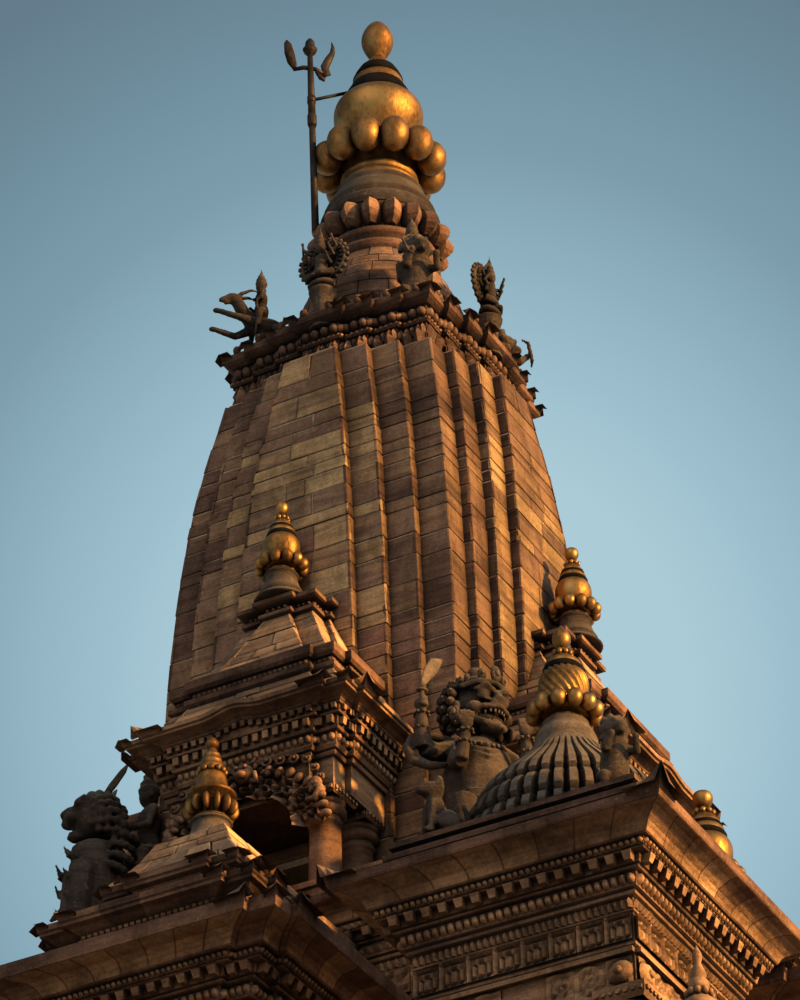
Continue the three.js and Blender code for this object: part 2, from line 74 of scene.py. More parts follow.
# Half width of the tower by height, the turns of the faces and corners, and the two levels of pavilions.
TOWER_CURVE = [
    (13.9, 1.145), (16.1, 1.112), (17.0, 1.066), (17.7, 1.012), (18.2, 0.946), (18.6, 0.876), (18.88, 0.815),
]
FACES = [("front", 0), ("right", 90), ("back", 180), ("left", 270)]
CORNERS = [("front_right", 0), ("back_right", 90), ("back_left", 180), ("front_left", 270)]
LEVELS = [("upper", TERRACE_B, CORNER_B, MIDDLE_B), ("lower", TERRACE_A, CORNER_A, MIDDLE_A)]

# Places of the two small beasts beside a dome, from its middle.
ROOF_BEASTS = [(-0.5, -0.66), (-0.64, 0.64)]

# Height of the fierce head over the guard's feet, and its turn to one side.
HEAD_HEIGHT = 1.29
HEAD_TURN = radians(22)

# Depth of the small waves on a weathered carving, and how much the tint of its repeated parts differs.
CARVING_ROUGHNESS = 0.003
ROW_SPREAD = 0.12

# Colours of dirt on the stone, and of each stone from its darkest tint to its palest.
PALE_CRUST = (0.46, 0.38, 0.29, 1)
JOINT_DIRT = (0.08, 0.06, 0.045, 1)
DUST = (0.3, 0.26, 0.21, 1)
SANDSTONE_STOPS = [
    (0.1, (0.084, 0.044, 0.03)), (0.28, (0.175, 0.09, 0.057)), (0.42, (0.32, 0.175, 0.092)),
    (0.54, (0.238, 0.125, 0.081)), (0.68, (0.45, 0.262, 0.121)), (0.9, (0.6, 0.375, 0.183)),
]
CARVED_STOPS = [
    (0.12, (0.072, 0.036, 0.025)), (0.35, (0.185, 0.093, 0.056)), (0.6, (0.37, 0.196, 0.098)),
    (0.85, (0.58, 0.33, 0.165)),
]
DARK_STOPS = [(0.15, (0.022, 0.014, 0.01)), (0.45, (0.058, 0.035, 0.024)), (0.8, (0.125, 0.078, 0.05))]
GREY_STOPS = [(0.15, (0.037, 0.025, 0.02)), (0.45, (0.094, 0.064, 0.047)), (0.8, (0.182, 0.13, 0.094))]
MORTAR_STOPS = [(0.1, (0.09, 0.055, 0.035)), (0.16, (0.46, 0.33, 0.2)), (0.4, (0.66, 0.5, 0.31))]
RED_STOPS = [(0.15, (0.11, 0.05, 0.03)), (0.5, (0.215, 0.105, 0.06)), (0.85, (0.32, 0.17, 0.095))]

# Lights: strength, colour, direction of the light and its spread in degrees.
KEY_SUN = (7.5, (1.0, 0.56, 0.15), (0.96, 0.04, 0.26), 4)
FILL_SUN = (0.62, (1.0, 0.79, 0.62), (0.02, -0.78, 0.62), 50)

# Radius of the studio floor.
FLOOR_RADIUS = 60.0

# Camera: place, then turn, pitch and roll in radians, and the lens in pixels of a picture this wide.
CAMERA_PLACE = (11.0815, -20.4367, 1.6288)
CAMERA_TURNS = (0.492, 0.621, -0.018)
FOCAL_PIXELS = 3972.1
PICTURE_WIDTH = 800
SENSOR_WIDTH = 36.0
FAR_CLIP = 500

# Sky by height with a slant to each side, and the haze round the direction of its glow.
SKY_SLANT = (0.44, 0.24)
HAZE_START = 0.975
HAZE_GAIN = 40.0
SKY_GLOW = (-0.3873, 0.7473, 0.54)
SKY_STOPS = [
    (0.0, (0.44, 0.55, 0.6)), (0.44, (0.38, 0.53, 0.6)), (0.56, (0.33, 0.48, 0.57)),
    (0.66, (0.14, 0.22, 0.29)), (0.9, (0.1, 0.165, 0.225)),
]
HAZE_STOPS = [
    (0.19, (0.128, 0.202, 0.262)), (0.34, (0.148, 0.24, 0.305)), (0.47, (0.168, 0.282, 0.355)),
    (0.62, (0.205, 0.335, 0.415)), (0.75, (0.268, 0.432, 0.52)), (0.86, (0.345, 0.525, 0.62)),
    (0.93, (0.407, 0.597, 0.672)),
]


class Shape:
    """Vertices and faces of one mesh with a stone tint. A side of -1 mirrors limbs and eggs in X."""

    def __init__(self):
        self.points = []
        self.faces = []
        self.tints = []
        self.smooth = []
        self.slots = []
        self.count = 0
        self.side = 1

    def add(self, points, faces, tint=0.5, smooth=False, slot=0):
        points = np.asarray(points, float).reshape(-1, 3)
        self.points.append(points)
        self.tints.append(np.full(len(points), tint) if np.isscalar(tint) else np.asarray(tint))
        self.faces.extend([[self.count + i for i in face] for face in faces])
        self.smooth.extend([smooth] * len(faces))
        self.slots.extend([slot] * len(faces))
        self.count += len(points)

    def stamp(self, part, place=(0, 0, 0), turn=0.0, size=1.0, tint=None):
        """Adds a copy of another shape, turned about Z and moved."""
        points = np.vstack(part.points) * size
        c, s = cos(turn), sin(turn)
        spun = points.copy()
        spun[:, 0] = c * points[:, 0] - s * points[:, 1]
        spun[:, 1] = s * points[:, 0] + c * points[:, 1]
        tints = np.concatenate(part.tints) if tint is None else np.full(len(points), tint)
        self.points.append(spun + np.asarray(place, float))
        self.tints.append(tints)
        self.faces.extend([[self.count + i for i in face] for face in part.faces])
        self.smooth.extend(part.smooth)
        self.slots.extend(part.slots)
        self.count += len(points)

    def mesh(self, name):
        mesh = bpy.data.meshes.new(name)
        mesh.from_pydata(np.vstack(self.points).tolist(), [], self.faces)
        mesh.polygons.foreach_set("use_smooth", self.smooth)
        mesh.polygons.foreach_set("material_index", self.slots)
        tint = mesh.attributes.new("tint", "FLOAT", "POINT")
        tint.data.foreach_set("value", np.clip(np.concatenate(self.tints), 0, 1))
        mesh.update()
        return mesh


def show(name, mesh, materials, nodes=(), angle=0.0, place=(0, 0, 0), turn=0.0, size=1.0):
    """Puts a mesh into the scene as one piece of the temple, turned about its own middle."""
    if isinstance(mesh, Shape):
        mesh = mesh.mesh(name)
    if not mesh.materials:
        for material in materials:
            mesh.materials.append(material)
    piece = bpy.data.objects.new(name, mesh)
    bpy.context.scene.collection.objects.link(piece)
    piece.matrix_world = Matrix.Rotation(radians(angle), 4, "Z") @ Matrix.Translation(place)
    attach(piece, "root")
    if nodes:
        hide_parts(*nodes)
    if turn:
        piece.rotation_euler.rotate_axis("Z", radians(turn))
    if size != 1.0:
        piece.scale = (size,) * 3


# Outlines in plan. Each is an array of corners, counterclockwise.

def stepped(half, out, band, steps):
    """Square with set-back corners and a wide middle on each side."""
    ring = []
    for face in range(4):
        side = [(-half, -half)]
        for i in range(1, steps + 1):
            x = half - i * band
            side += [(-x, -half - (i - 1) * out), (-x, -half - i * out)]
        for i in range(steps, 0, -1):
            x = half - i * band
            side += [(x, -half - i * out), (x, -half - (i - 1) * out)]
        for x, y in side:
            ring.append([(x, y), (-y, x), (-x, -y), (y, -x)][face])
    return np.array(ring)


def square(half):
    """Outline of a square about the middle."""
    return stepped(half, 0, 0, 0)


def pavilion_tier(half):
    """Outline of a middle pavilion's tier, with one step in each face."""
    return stepped(half, 0.05, 0.18, 1)


def porch_outline(half):
    """Porch roof with set-back front corners, running back into the tower."""
    front, corner, out, back = half + 1.235, 0.15, 0.045, -1.0
    return np.array([
        (-half, -front), (-half + corner, -front), (-half + corner, -front - out),
        (half - corner, -front - out), (half - corner, -front), (half, -front),
        (half, -front + corner), (half + out, -front + corner), (half + out, back),
        (-half - out, back), (-half - out, -front + corner), (-half, -front + corner),
    ])


def tower_outline(z):
    """Plan of the tower at a height; its steps grow wider and shallower towards the foot."""
    share = (TOWER_CURVE[-1][0] - z) / TOWER_TALL
    heights = [h for h, _ in TOWER_CURVE]
    halves = [w for _, w in TOWER_CURVE]
    half = sum(np.interp(z + d, heights, halves) for d in (-0.2, -0.1, 0, 0.1, 0.2)) / 5
    return stepped(half + 0.004, 0.081 - 0.031 * share, 0.212 + 0.012 * share, 3)


def on_porch(point):
    """Tells the open part of a porch from what runs into the tower."""
    return point[1] < -1.17


# Parts of mouldings. In each one the outward side is -Y.

def angles(count, start=0.0):
    """Equal steps of a full turn."""
    return [start + 2 * pi * i / count for i in range(count)]


def strips(rows, wide, first=0, closed=False):
    """Faces between rows of points; a closed row joins its last point to its first."""
    faces = []
    for r in range(rows - 1):
        for c in range(wide if closed else wide - 1):
            a, b = first + r * wide + c, first + r * wide + (c + 1) % wide
            faces.append((a, b, b + wide, a + wide))
    return faces


def bead(rx, ry, rz, around=8, rings=2):
    """Half an egg lying on the surface."""
    part = Shape()
    points = [(0, -ry, 0)]
    for j in range(1, rings + 1):
        tilt = j * pi / 2 / rings
        for a in angles(around):
            points.append((rx * sin(tilt) * cos(a), -ry * cos(tilt), rz * sin(tilt) * sin(a)))
    faces = [(0, 1 + i, 1 + (i + 1) % around) for i in range(around)]
    faces += [(a, d, c, b) for a, b, c, d in strips(rings, around, 1, True)]
    part.add(points, faces, smooth=True)
    return part


def slab_part(width, depth, height, flare=1.0):
    """Block with its back in the wall; flare widens its foot."""
    part = Shape()
    w, f = width / 2, width / 2 * flare
    points = [(-w, -depth, height), (w, -depth, height), (w, 0, height), (-w, 0, height),
              (-f, -depth * flare, 0), (f, -depth * flare, 0), (f, 0, 0), (-f, 0, 0)]
    part.add(points, [(0, 1, 2, 3), (4, 7, 6, 5), (0, 4, 5, 1), (1, 5, 6, 2), (3, 7, 4, 0)])
    return part


def leaf(width, height, depth):
    """Upright pointed leaf with a raised middle, its foot at z = 0."""
    part = Shape()
    w = width / 2
    points = [(-w, 0, 0), (0, -depth * 0.5, 0), (w, 0, 0), (-w * 1.05, -depth * 0.2, height * 0.55),
              (0, -depth, height * 0.5), (w * 1.05, -depth * 0.2, height * 0.55), (0, -depth * 0.4, height)]
    part.add(points, [(0, 1, 4, 3), (1, 2, 5, 4), (3, 4, 6), (4, 5, 6)])
    return part


def relief(width, height, columns, rows, depth):
    """Carved sheet whose depth at (x, z) comes from a function. Its foot is at z = 0."""
    part = Shape()
    points = []
    for j in range(rows + 1):
        for i in range(columns + 1):
            x, z = (i / columns - 0.5) * width, j / rows * height
            points.append((x, -depth(x, z), z))
    part.add(points, strips(rows + 1, columns + 1))
    return part


def niche_panel(width, height, grid=9):
    """Framed panel with a small arch and a figure in it."""
    def depth(x, z):
        edge = min(width / 2 - abs(x), z, height - z)
        arch = hypot(x / (width * 0.3), (z - height * 0.38) / (height * 0.42))
        figure = hypot(x / (width * 0.11), (z - height * 0.36) / (height * 0.24))
        if edge < width * 0.09:
            return 0.026
        if figure < 1:
            return 0.01 + 0.016 * (1 - figure * figure)
        return 0.02 if 0.82 < arch < 1.15 and z > height * 0.2 else 0.0
    return relief(width, height, grid, grid, depth)


def scroll_panel(width, height, columns, rows):
    """Panel filled with leafy scrolls."""
    pitch = height * 0.9

    def depth(x, z):
        cell = round(x / pitch)
        dx, dz = x - cell * pitch, z - height / 2
        r = hypot(dx, dz) + 1e-4
        turn = 1 if cell % 2 else -1
        swirl = cos(turn * atan2(dz, dx) + 9.0 * log(r / pitch + 0.15))
        leaves = cos(5 * atan2(dz, dx) + 40 * r)
        return 0.012 + 0.01 * swirl + 0.006 * leaves * min(1, r / pitch * 2)
    return relief(width, height, columns, rows, depth)


def sweep(shape, outline, profile, tint=0.5, spread=0.0, length=0.6, lift=None, seam=0.0):
    """Moulding of (half width, height) pairs carried round an outline, in stones with dark seams."""
    rings = [outline(half) for half, _ in profile]
    sides = len(rings[0])
    for i in range(sides):
        j = (i + 1) % sides
        widest = max(np.linalg.norm(ring[j] - ring[i]) for ring in rings)
        count = max(1, int(round(widest / length)))
        for k in range(count):
            shares = [k / count, (k + 1) / count]
            if seam:
                shares[1:1] = [shares[0] + seam / widest, shares[1] - seam / widest]
            points = []
            for ring, (_, z) in zip(rings, profile):
                for share in shares:
                    x, y = ring[i] + (ring[j] - ring[i]) * share
                    points.append((x, y, z + (lift(x, y) if lift else 0)))
            shade = tint + RNG.uniform(-spread, spread)
            shades = [0.0, shade, shade, 0.0] * len(profile) if seam else shade
            shape.add(points, strips(len(profile), len(shares)), shades)


def cap(shape, ring, z, tint=0.5):
    """Flat lid over an outline, as a fan from its middle."""
    centre = ring.mean(0)
    points = [(centre[0], centre[1], z)] + [(x, y, z) for x, y in ring]
    shape.add(points, [(0, 1 + i, 1 + (i + 1) % len(ring)) for i in range(len(ring))], tint)


def row(shape, part, ring, z, spacing, tint=0.5, keep=None, lift=None):
    """Copies of a part at even spacing along every side of an outline."""
    for i in range(len(ring)):
        a, b = ring[i], ring[(i + 1) % len(ring)]
        count = int(round(np.linalg.norm(b - a) / spacing))
        turn = atan2(b[1] - a[1], b[0] - a[0])
        for k in range(count):
            x, y = a + (b - a) * ((k + 0.5) / count)
            if keep and not keep((x, y)):
                continue
            height = z + (lift(x, y) if lift else 0)
            size = RNG.uniform(0.94, 1.04)
            shape.stamp(part, (x, y, height), turn, size, tint + RNG.uniform(-ROW_SPREAD, ROW_SPREAD))


def ears(shape, ring, z, length, height, flare=0.35, tint=0.5, keep=None):
    """Upturned horns with a sharp ridge on the outer corners of a roof slab."""
    thick = 0.06
    for i in range(len(ring)):
        before, corner, after = ring[i - 1], ring[i], ring[(i + 1) % len(ring)]
        u, v = corner - before, after - corner
        if u[0] * v[1] - u[1] * v[0] <= 0 or (keep and not keep(corner)):
            continue
        sides = [np.linalg.norm(u), np.linalg.norm(v)]
        tall = height * RNG.uniform(0.8, 1.1) * min(1, max(sides) / 0.25)
        tip = u / sides[0] - v / sides[1]
        for way, side, sign in ((-u, sides[0], 1), (v, sides[1], -1)):
            reach = min(length, side * 0.45)
            way = way / side
            inward = np.array([way[1], -way[0]]) * -sign * thick
            points = []
            for k in range(6):
                share = k / 5
                rise = tall * (1 - share) ** 1.8
                base = corner + way * (reach * share)
                ridge = base + tip * (rise * flare)
                points += [(*base, z - 0.02), (*ridge, z + rise), (*(base + inward), z - 0.005)]
            shape.add(points, [(a, d, c, b) for a, b, c, d in strips(6, 3)], tint)


def stone(shape, corners, depth, joint, tint, ends):
    """Dressed stone with worn edges on a sloping patch; an end at a corner runs on to close it."""
    p00, p10, p11, p01 = [np.asarray(p, float) for p in corners]
    along = (p10 - p00) / np.linalg.norm(p10 - p00)
    up = (p01 - p00) / np.linalg.norm(p01 - p00)
    normal = np.cross(along, up)
    normal /= np.linalg.norm(normal)
    worn = 0.007

    def ring(inset, height):
        left = along * (inset if not ends[0] else inset - joint / 2 - depth)
        right = along * (inset if not ends[1] else inset - joint / 2 - depth)
        rise = up * inset
        wobble = [np.array([RNG.uniform(-1, 1) for _ in range(3)]) * 0.0025 for _ in range(4)]
        base = [p00 + left + rise, p10 - right + rise, p11 - right - rise, p01 + left - rise]
        return [b + normal * height + w for b, w in zip(base, wobble)]

    points = ring(joint / 2 + worn, depth) + ring(joint / 2, depth - worn * 0.7) + ring(joint / 2, -0.015)
    faces = [(0, 1, 2, 3)] + [face[::-1] for face in strips(3, 4, 0, True)]
    shape.add(points, faces, tint)


def courses(shape, outline, z0, z1, height, width, depth=0.01, joint=0.007, tint=0.45, spread=0.3, skip=None,
            band_tone_and_riser_shade=None):
    """Courses of stones on a tapering wall or roof between two heights."""
    z = z0
    while z < z1 - 0.02:
        top = min(z1, z + height * RNG.choice((0.7, 0.85, 1.0, 1.0, 1.2, 1.5)))
        if z1 - top < height * 0.4:
            top = z1
        low, high = outline(z), outline(top)
        for i in range(len(low)):
            j = (i + 1) % len(low)
            length = np.linalg.norm(low[j] - low[i])
            count = max(1, int(round(length / width * RNG.uniform(0.7, 1.35))))
            cuts = [0.0] + [(k + RNG.uniform(-0.3, 0.3)) / count for k in range(1, count)] + [1.0]
            for s0, s1 in zip(cuts, cuts[1:]):
                base = [low[i] + (low[j] - low[i]) * s for s in (s0, s1)]
                head = [high[i] + (high[j] - high[i]) * s for s in (s1, s0)]
                middle = (base[0] + base[1]) / 2
                if skip and skip(middle, (z + top) / 2):
                    continue
                corners = [(*base[0], z), (*base[1], z), (*head[0], top), (*head[1], top)]
                patch = noise.noise(Vector((middle[0] * 1.3, middle[1] * 1.3, z * 1.1)))
                shade = tint + 0.35 * patch + RNG.uniform(-spread, spread)
                # Tint added by the caller by place, which can paint shade onto some stones.
                shade = shade + (band_tone_and_riser_shade(middle, length) if band_tone_and_riser_shade else 0)
                ends = (s0 == 0.0, s1 == 1.0)
                stone(shape, corners, depth * RNG.uniform(0.5, 1.7), joint, shade, ends)
        z = top


# Round work.

def lathe(shape, profile, sides=32, centre=(0, 0), tint=0.5, ripple=None, slot=0, smooth=True):
    """Turned form from (radius, height) pairs; ripple(angle, share) scales the radius."""
    points = []
    for j, (radius, z) in enumerate(profile):
        for angle in angles(sides):
            r = radius * (ripple(angle, j / (len(profile) - 1)) if ripple else 1)
            points.append((centre[0] + r * cos(angle), centre[1] + r * sin(angle), z))
    shape.add(points, strips(len(profile), sides, 0, True), tint, smooth, slot)


def rounded(profile, steps=4):
    """The same profile with a smooth curve through its points."""
    points = [np.array(p, float) for p in profile]
    out = []
    for i in range(len(points) - 1):
        a, b = points[max(i - 1, 0)], points[i]
        c, d = points[i + 1], points[min(i + 2, len(points) - 1)]
        for k in range(steps):
            t = k / steps
            out.append(tuple(0.5 * (2 * b + (c - a) * t + (2 * a - 5 * b + 4 * c - d) * t * t
                                    + (3 * b - 3 * c + d - a) * t ** 3)))
    out.append(tuple(points[-1]))
    return [(max(r, 0.0), z) for r, z in out]


def ball(shape, centre, radii, turn=None, around=12, down=8, tint=0.5, slot=0):
    """Closed egg with its own turn."""
    matrix = turn or Matrix.Identity(3)
    points = [(0, 0, radii[2])]
    for j in range(1, down):
        tilt = pi * j / down
        for a in angles(around):
            points.append((radii[0] * sin(tilt) * cos(a), radii[1] * sin(tilt) * sin(a),
                           radii[2] * cos(tilt)))
    points.append((0, 0, -radii[2]))
    last = len(points) - 1
    faces = [(0, 1 + i, 1 + (i + 1) % around) for i in range(around)]
    faces += [(a, d, c, b) for a, b, c, d in strips(down - 1, around, 1, True)]
    faces += [(last, last - around + (i + 1) % around, last - around + i) for i in range(around)]
    middle = Vector((shape.side * centre[0], centre[1], centre[2]))
    shape.add([tuple(matrix @ Vector(p) + middle) for p in points], faces, tint, True, slot)


def tube(shape, path, radii, sides=8, tint=0.5, flat=1.0):
    """Closed limb or bar along a path, with a radius at each point; flat squashes it sideways."""
    path = [Vector((shape.side * x, y, z)) for x, y, z in path]
    if len(radii) != len(path):
        radii = [radii[0] + (radii[-1] - radii[0]) * i / (len(path) - 1) for i in range(len(path))]
    side = None
    points = []
    for i, p in enumerate(path):
        way = (path[min(i + 1, len(path) - 1)] - path[max(i - 1, 0)]).normalized()
        if side is None:
            side = way.orthogonal().normalized()
        side = (side - way * side.dot(way)).normalized()
        other = way.cross(side)
        for a in angles(sides):
            points.append(tuple(p + (side * cos(a) + other * sin(a) * flat) * max(radii[i], 1e-4)))
    faces = [tuple(reversed(range(sides)))] + strips(len(path), sides, 0, True)
    faces.append(tuple(range((len(path) - 1) * sides, len(path) * sides)))
    shape.add(points, faces, tint, True)


def curl(x, y, z, start, turns, size, lean):
    """Points of a flat spiral in the XZ plane, leaning forward towards its middle."""
    points = []
    for i in range(12):
        share = i / 11
        angle = start + turns * 2 * pi * share
        r = size * (1 - 0.85 * share)
        points.append((x + r * cos(angle), y - lean * share, z + r * sin(angle)))
    return points


def carved(name, parts, voxel, tint, share):
    """Statue: overlapping limbs fused into one skin, roughened as weathered carving, then thinned out."""
    block = bpy.data.objects.new(name, parts.mesh(name))
    bpy.context.scene.collection.objects.link(block)
    fuse = block.modifiers.new("fuse", "REMESH")
    fuse.mode = "VOXEL"
    fuse.voxel_size = voxel
    thin = block.modifiers.new("thin", "DECIMATE")
    thin.ratio = share
    evaluated = block.evaluated_get(bpy.context.evaluated_depsgraph_get())
    mesh = bpy.data.meshes.new_from_object(evaluated)
    bpy.data.objects.remove(block)
    places, normals = np.empty(len(mesh.vertices) * 3), np.empty(len(mesh.vertices) * 3)
    mesh.vertices.foreach_get("co", places)
    mesh.vertices.foreach_get("normal", normals)
    waves, tints = [], []
    for place in places.reshape(-1, 3):
        p = Vector(place)
        waves.append(noise.noise(p * 9.0) + 0.6 * noise.noise(p * 24.0))
        tints.append(min(1, max(0, tint + 0.3 * noise.noise(p * 3.0))))
    places += normals * (CARVING_ROUGHNESS * np.repeat(waves, 3))
    mesh.vertices.foreach_set("co", places)
    for attribute in list(mesh.attributes):
        if attribute.name == "tint":
            mesh.attributes.remove(attribute)
    mesh.attributes.new("tint", "FLOAT", "POINT").data.foreach_set("value", tints)
    mesh.polygons.foreach_set("use_smooth", [True] * len(mesh.polygons))
    mesh.update()
    return mesh


# Materials.

def link(tree, socket, value):
    """Sets a socket to a value, or joins it to another socket."""
    if isinstance(value, bpy.types.NodeSocket):
        tree.links.new(value, socket)
    else:
        socket.default_value = value


def add_node(tree, kind, inputs=None, **settings):
    """Adds a shader node, with its settings and with what its sockets take."""
    node = tree.nodes.new("ShaderNode" + kind)
    for key, value in settings.items():
        setattr(node, key, value)
    for key, value in (inputs or {}).items():
        link(tree, node.inputs[key], value)
    return node


def maths(tree, operation, a, b=0.0):
    """Adds a maths node of one operation."""
    return add_node(tree, "Math", {0: a, 1: b}, operation=operation).outputs[0]


def blend(tree, *parts):
    """Sum of (value, weight) pairs."""
    total = None
    for value, weight in parts:
        term = maths(tree, "MULTIPLY", value, weight)
        total = maths(tree, "ADD", total, term) if total else term
    return total


def axis(tree, vector, index):
    """One axis of a vector."""
    return add_node(tree, "SeparateXYZ", {0: vector}).outputs[index]


def mixed(tree, factor, a, b, mode="MIX"):
    """Mixes two colours by a factor."""
    node = add_node(tree, "Mix", {0: factor, 6: a, 7: b}, data_type="RGBA", blend_type=mode)
    return node.outputs[2]


def ramp(tree, value, stops):
    """Colours, or grey levels, at places along a value from 0 to 1."""
    node = add_node(tree, "ValToRGB", {"Fac": value})
    band = node.color_ramp
    while len(band.elements) < len(stops):
        band.elements.new(0.5)
    for element, (place, colour) in zip(band.elements, stops):
        element.position = place
        element.color = (*colour, 1) if isinstance(colour, tuple) else (colour, colour, colour, 1)
    return node.outputs["Color"]


def shaded(tree, colour, value, stops, factor=1.0):
    """Colour darkened or lightened by grey levels that follow a value."""
    return mixed(tree, factor, colour, ramp(tree, value, stops), "MULTIPLY")


def scatter(tree, position, scale, detail=4.0, stretch=(1, 1, 1), roughness=0.6):
    """Uneven noise over the surface."""
    mapped = add_node(tree, "Mapping", {"Vector": position, "Scale": stretch}).outputs[0]
    values = {"Vector": mapped, "Scale": scale, "Detail": detail, "Roughness": roughness}
    return add_node(tree, "TexNoise", values).outputs[0]


def painted_hollow_shade(tree, colour, reach, darkest):
    """Painted shade: darkens the colour in hollows and under ledges, by how closed in they are."""
    opening = add_node(tree, "AmbientOcclusion", {"Distance": reach}, samples=4).outputs["AO"]
    return shaded(tree, colour, opening, [(0.4, darkest), (0.92, 1.0)])


def new_material(name):
    """A new material with its node tree and the sockets of its shader."""
    material = bpy.data.materials.new(name)
    material.use_nodes = True
    return material, material.node_tree, material.node_tree.nodes["Principled BSDF"].inputs


def bricks(tree, position, normal, wave, width, height):
    """Courses of blocks on any upright wall: the tint of each block, and the joints between them."""
    facing = [maths(tree, "ABSOLUTE", axis(tree, normal, k)) for k in (0, 1)]
    sideways = maths(tree, "GREATER_THAN", *facing)
    across = add_node(tree, "Mix", {0: sideways, 2: axis(tree, position, 0), 3: axis(tree, position, 1)})
    rise = maths(tree, "ADD", axis(tree, position, 2), maths(tree, "MULTIPLY", wave, 0.02))
    flat = add_node(tree, "CombineXYZ", {0: across.outputs[0], 1: rise}).outputs[0]
    node = add_node(tree, "TexBrick", {
        "Vector": flat, "Color1": (0, 0, 0, 1), "Color2": (1, 1, 1, 1), "Mortar": (0.5, 0.5, 0.5, 1),
        "Scale": 1.0, "Mortar Size": 0.006, "Mortar Smooth": 0.3, "Brick Width": width, "Row Height": height})
    node.offset = 0.43
    return maths(tree, "MULTIPLY", node.outputs["Color"], 0.8), node.outputs["Fac"]


def rock(name, stops, bump=0.5, masonry=None, dust=0.35, wear=0.25, hollow=0.14, painted_sunlight=0.0):
    """Weathered stone: tints by block, strata, smears, pale crust, dirt in joints and dust on top, with
    painted shade in hollows, under ledges and on faces that look down, and, where set, painted sunlight on
    faces turned to +X.
    """
    material, tree, shader = new_material(name)
    geometry = add_node(tree, "NewGeometry")
    position, normal = geometry.outputs["Position"], geometry.outputs["Normal"]
    strata = scatter(tree, position, 1.0, 6.0, (1.6, 1.6, 17.0))
    patches = scatter(tree, position, 1.7, 3.0)
    grain = scatter(tree, position, 42.0, 6.0, (1, 1, 1.3), 0.75)
    chips = scatter(tree, position, 13.0, 6.0, (1, 1, 1.6), 0.75)
    if masonry:
        tint, joints = bricks(tree, position, normal, patches, *masonry)
    else:
        tint, joints = add_node(tree, "Attribute", attribute_name="tint").outputs["Fac"], None
    level = blend(tree, (tint, 0.62), (strata, 0.3), (patches, 0.26))
    colour = ramp(tree, maths(tree, "SUBTRACT", level, 0.09), stops)
    colour = shaded(tree, colour, strata, [(0.38, 0.72), (0.5, 1.0), (0.62, 1.12)], 0.8)
    smears = scatter(tree, position, 3.1, 7.0, (1, 1, 0.45), 0.7)
    colour = shaded(tree, colour, smears, [(0.42, 0.42), (0.56, 1.05)], wear + 0.45)
    colour = shaded(tree, colour, grain, [(0.36, 0.62), (0.5, 1.0), (0.66, 1.3)], 0.75)
    crust = maths(tree, "MULTIPLY", ramp(tree, chips, [(0.6, 0.0), (0.72, 1.0)]), wear)
    colour = mixed(tree, crust, colour, PALE_CRUST)
    if joints:
        colour = mixed(tree, maths(tree, "MULTIPLY", joints, 0.8), colour, JOINT_DIRT)
    upward = axis(tree, normal, 2)
    dusty = maths(tree, "MULTIPLY", ramp(tree, upward, [(0.25, 0.0), (0.85, 1.0)]), dust)
    colour = mixed(tree, dusty, colour, DUST)
    # Painted shade: faces that look down are darkened, to half the colour on faces turned straight down.
    colour = shaded(tree, colour, maths(tree, "MULTIPLY", upward, -1.0), [(0.2, 1.0), (0.9, 0.5)])
    # Painted sunlight: faces turned towards +X, where the key light comes from, are made lighter, up to one
    # plus this factor times.
    if painted_sunlight:
        colour = shaded(tree, colour, axis(tree, normal, 0), [(0.2, 1.0), (0.9, 1.0 + painted_sunlight)])
    # Painted shade in hollows and under ledges.
    colour = painted_hollow_shade(tree, colour, 0.12, hollow)
    height = blend(tree, (strata, 0.6), (chips, 0.8), (grain, 0.45))
    if joints:
        height = maths(tree, "SUBTRACT", height, maths(tree, "MULTIPLY", joints, 0.9))
    rough = add_node(tree, "Bump", {"Strength": bump, "Distance": 0.035, "Height": height})
    link(tree, shader["Normal"], rough.outputs[0])
    link(tree, shader["Base Color"], colour)
    link(tree, shader["Roughness"], 0.88)
    link(tree, shader["Specular IOR Level"], 0.15)
    return material


def metal(name, dark, light, roughness, metallic=1.0, gloss=0.5):
    """Worn metal with duller patches, fine scratches and painted shade in its hollows."""
    material, tree, shader = new_material(name)
    position = add_node(tree, "NewGeometry").outputs["Position"]
    patches = scatter(tree, position, 5.0, 6.0, (1, 1, 0.6))
    fine = scatter(tree, position, 38.0, 4.0, (1, 1, 0.5))
    spots = scatter(tree, position, 22.0, 3.0)
    colour = ramp(tree, blend(tree, (patches, 0.7), (fine, 0.3)), [(0.34, dark), (0.56, light)])
    colour = shaded(tree, colour, spots, [(0.3, 0.45), (0.42, 1.0)], 0.5)
    # Painted shade in the hollows of the metal.
    colour = painted_hollow_shade(tree, colour, 0.07, 0.35)
    shine = ramp(tree, patches, [(0.35, min(1.0, roughness + 0.22)), (0.65, roughness)])
    rough = add_node(tree, "Bump", {"Strength": 0.25, "Distance": 0.01, "Height": fine})
    link(tree, shader["Base Color"], colour)
    link(tree, shader["Roughness"], shine)
    link(tree, shader["Normal"], rough.outputs[0])
    link(tree, shader["Metallic"], metallic)
    link(tree, shader["Specular IOR Level"], gloss)
    return material


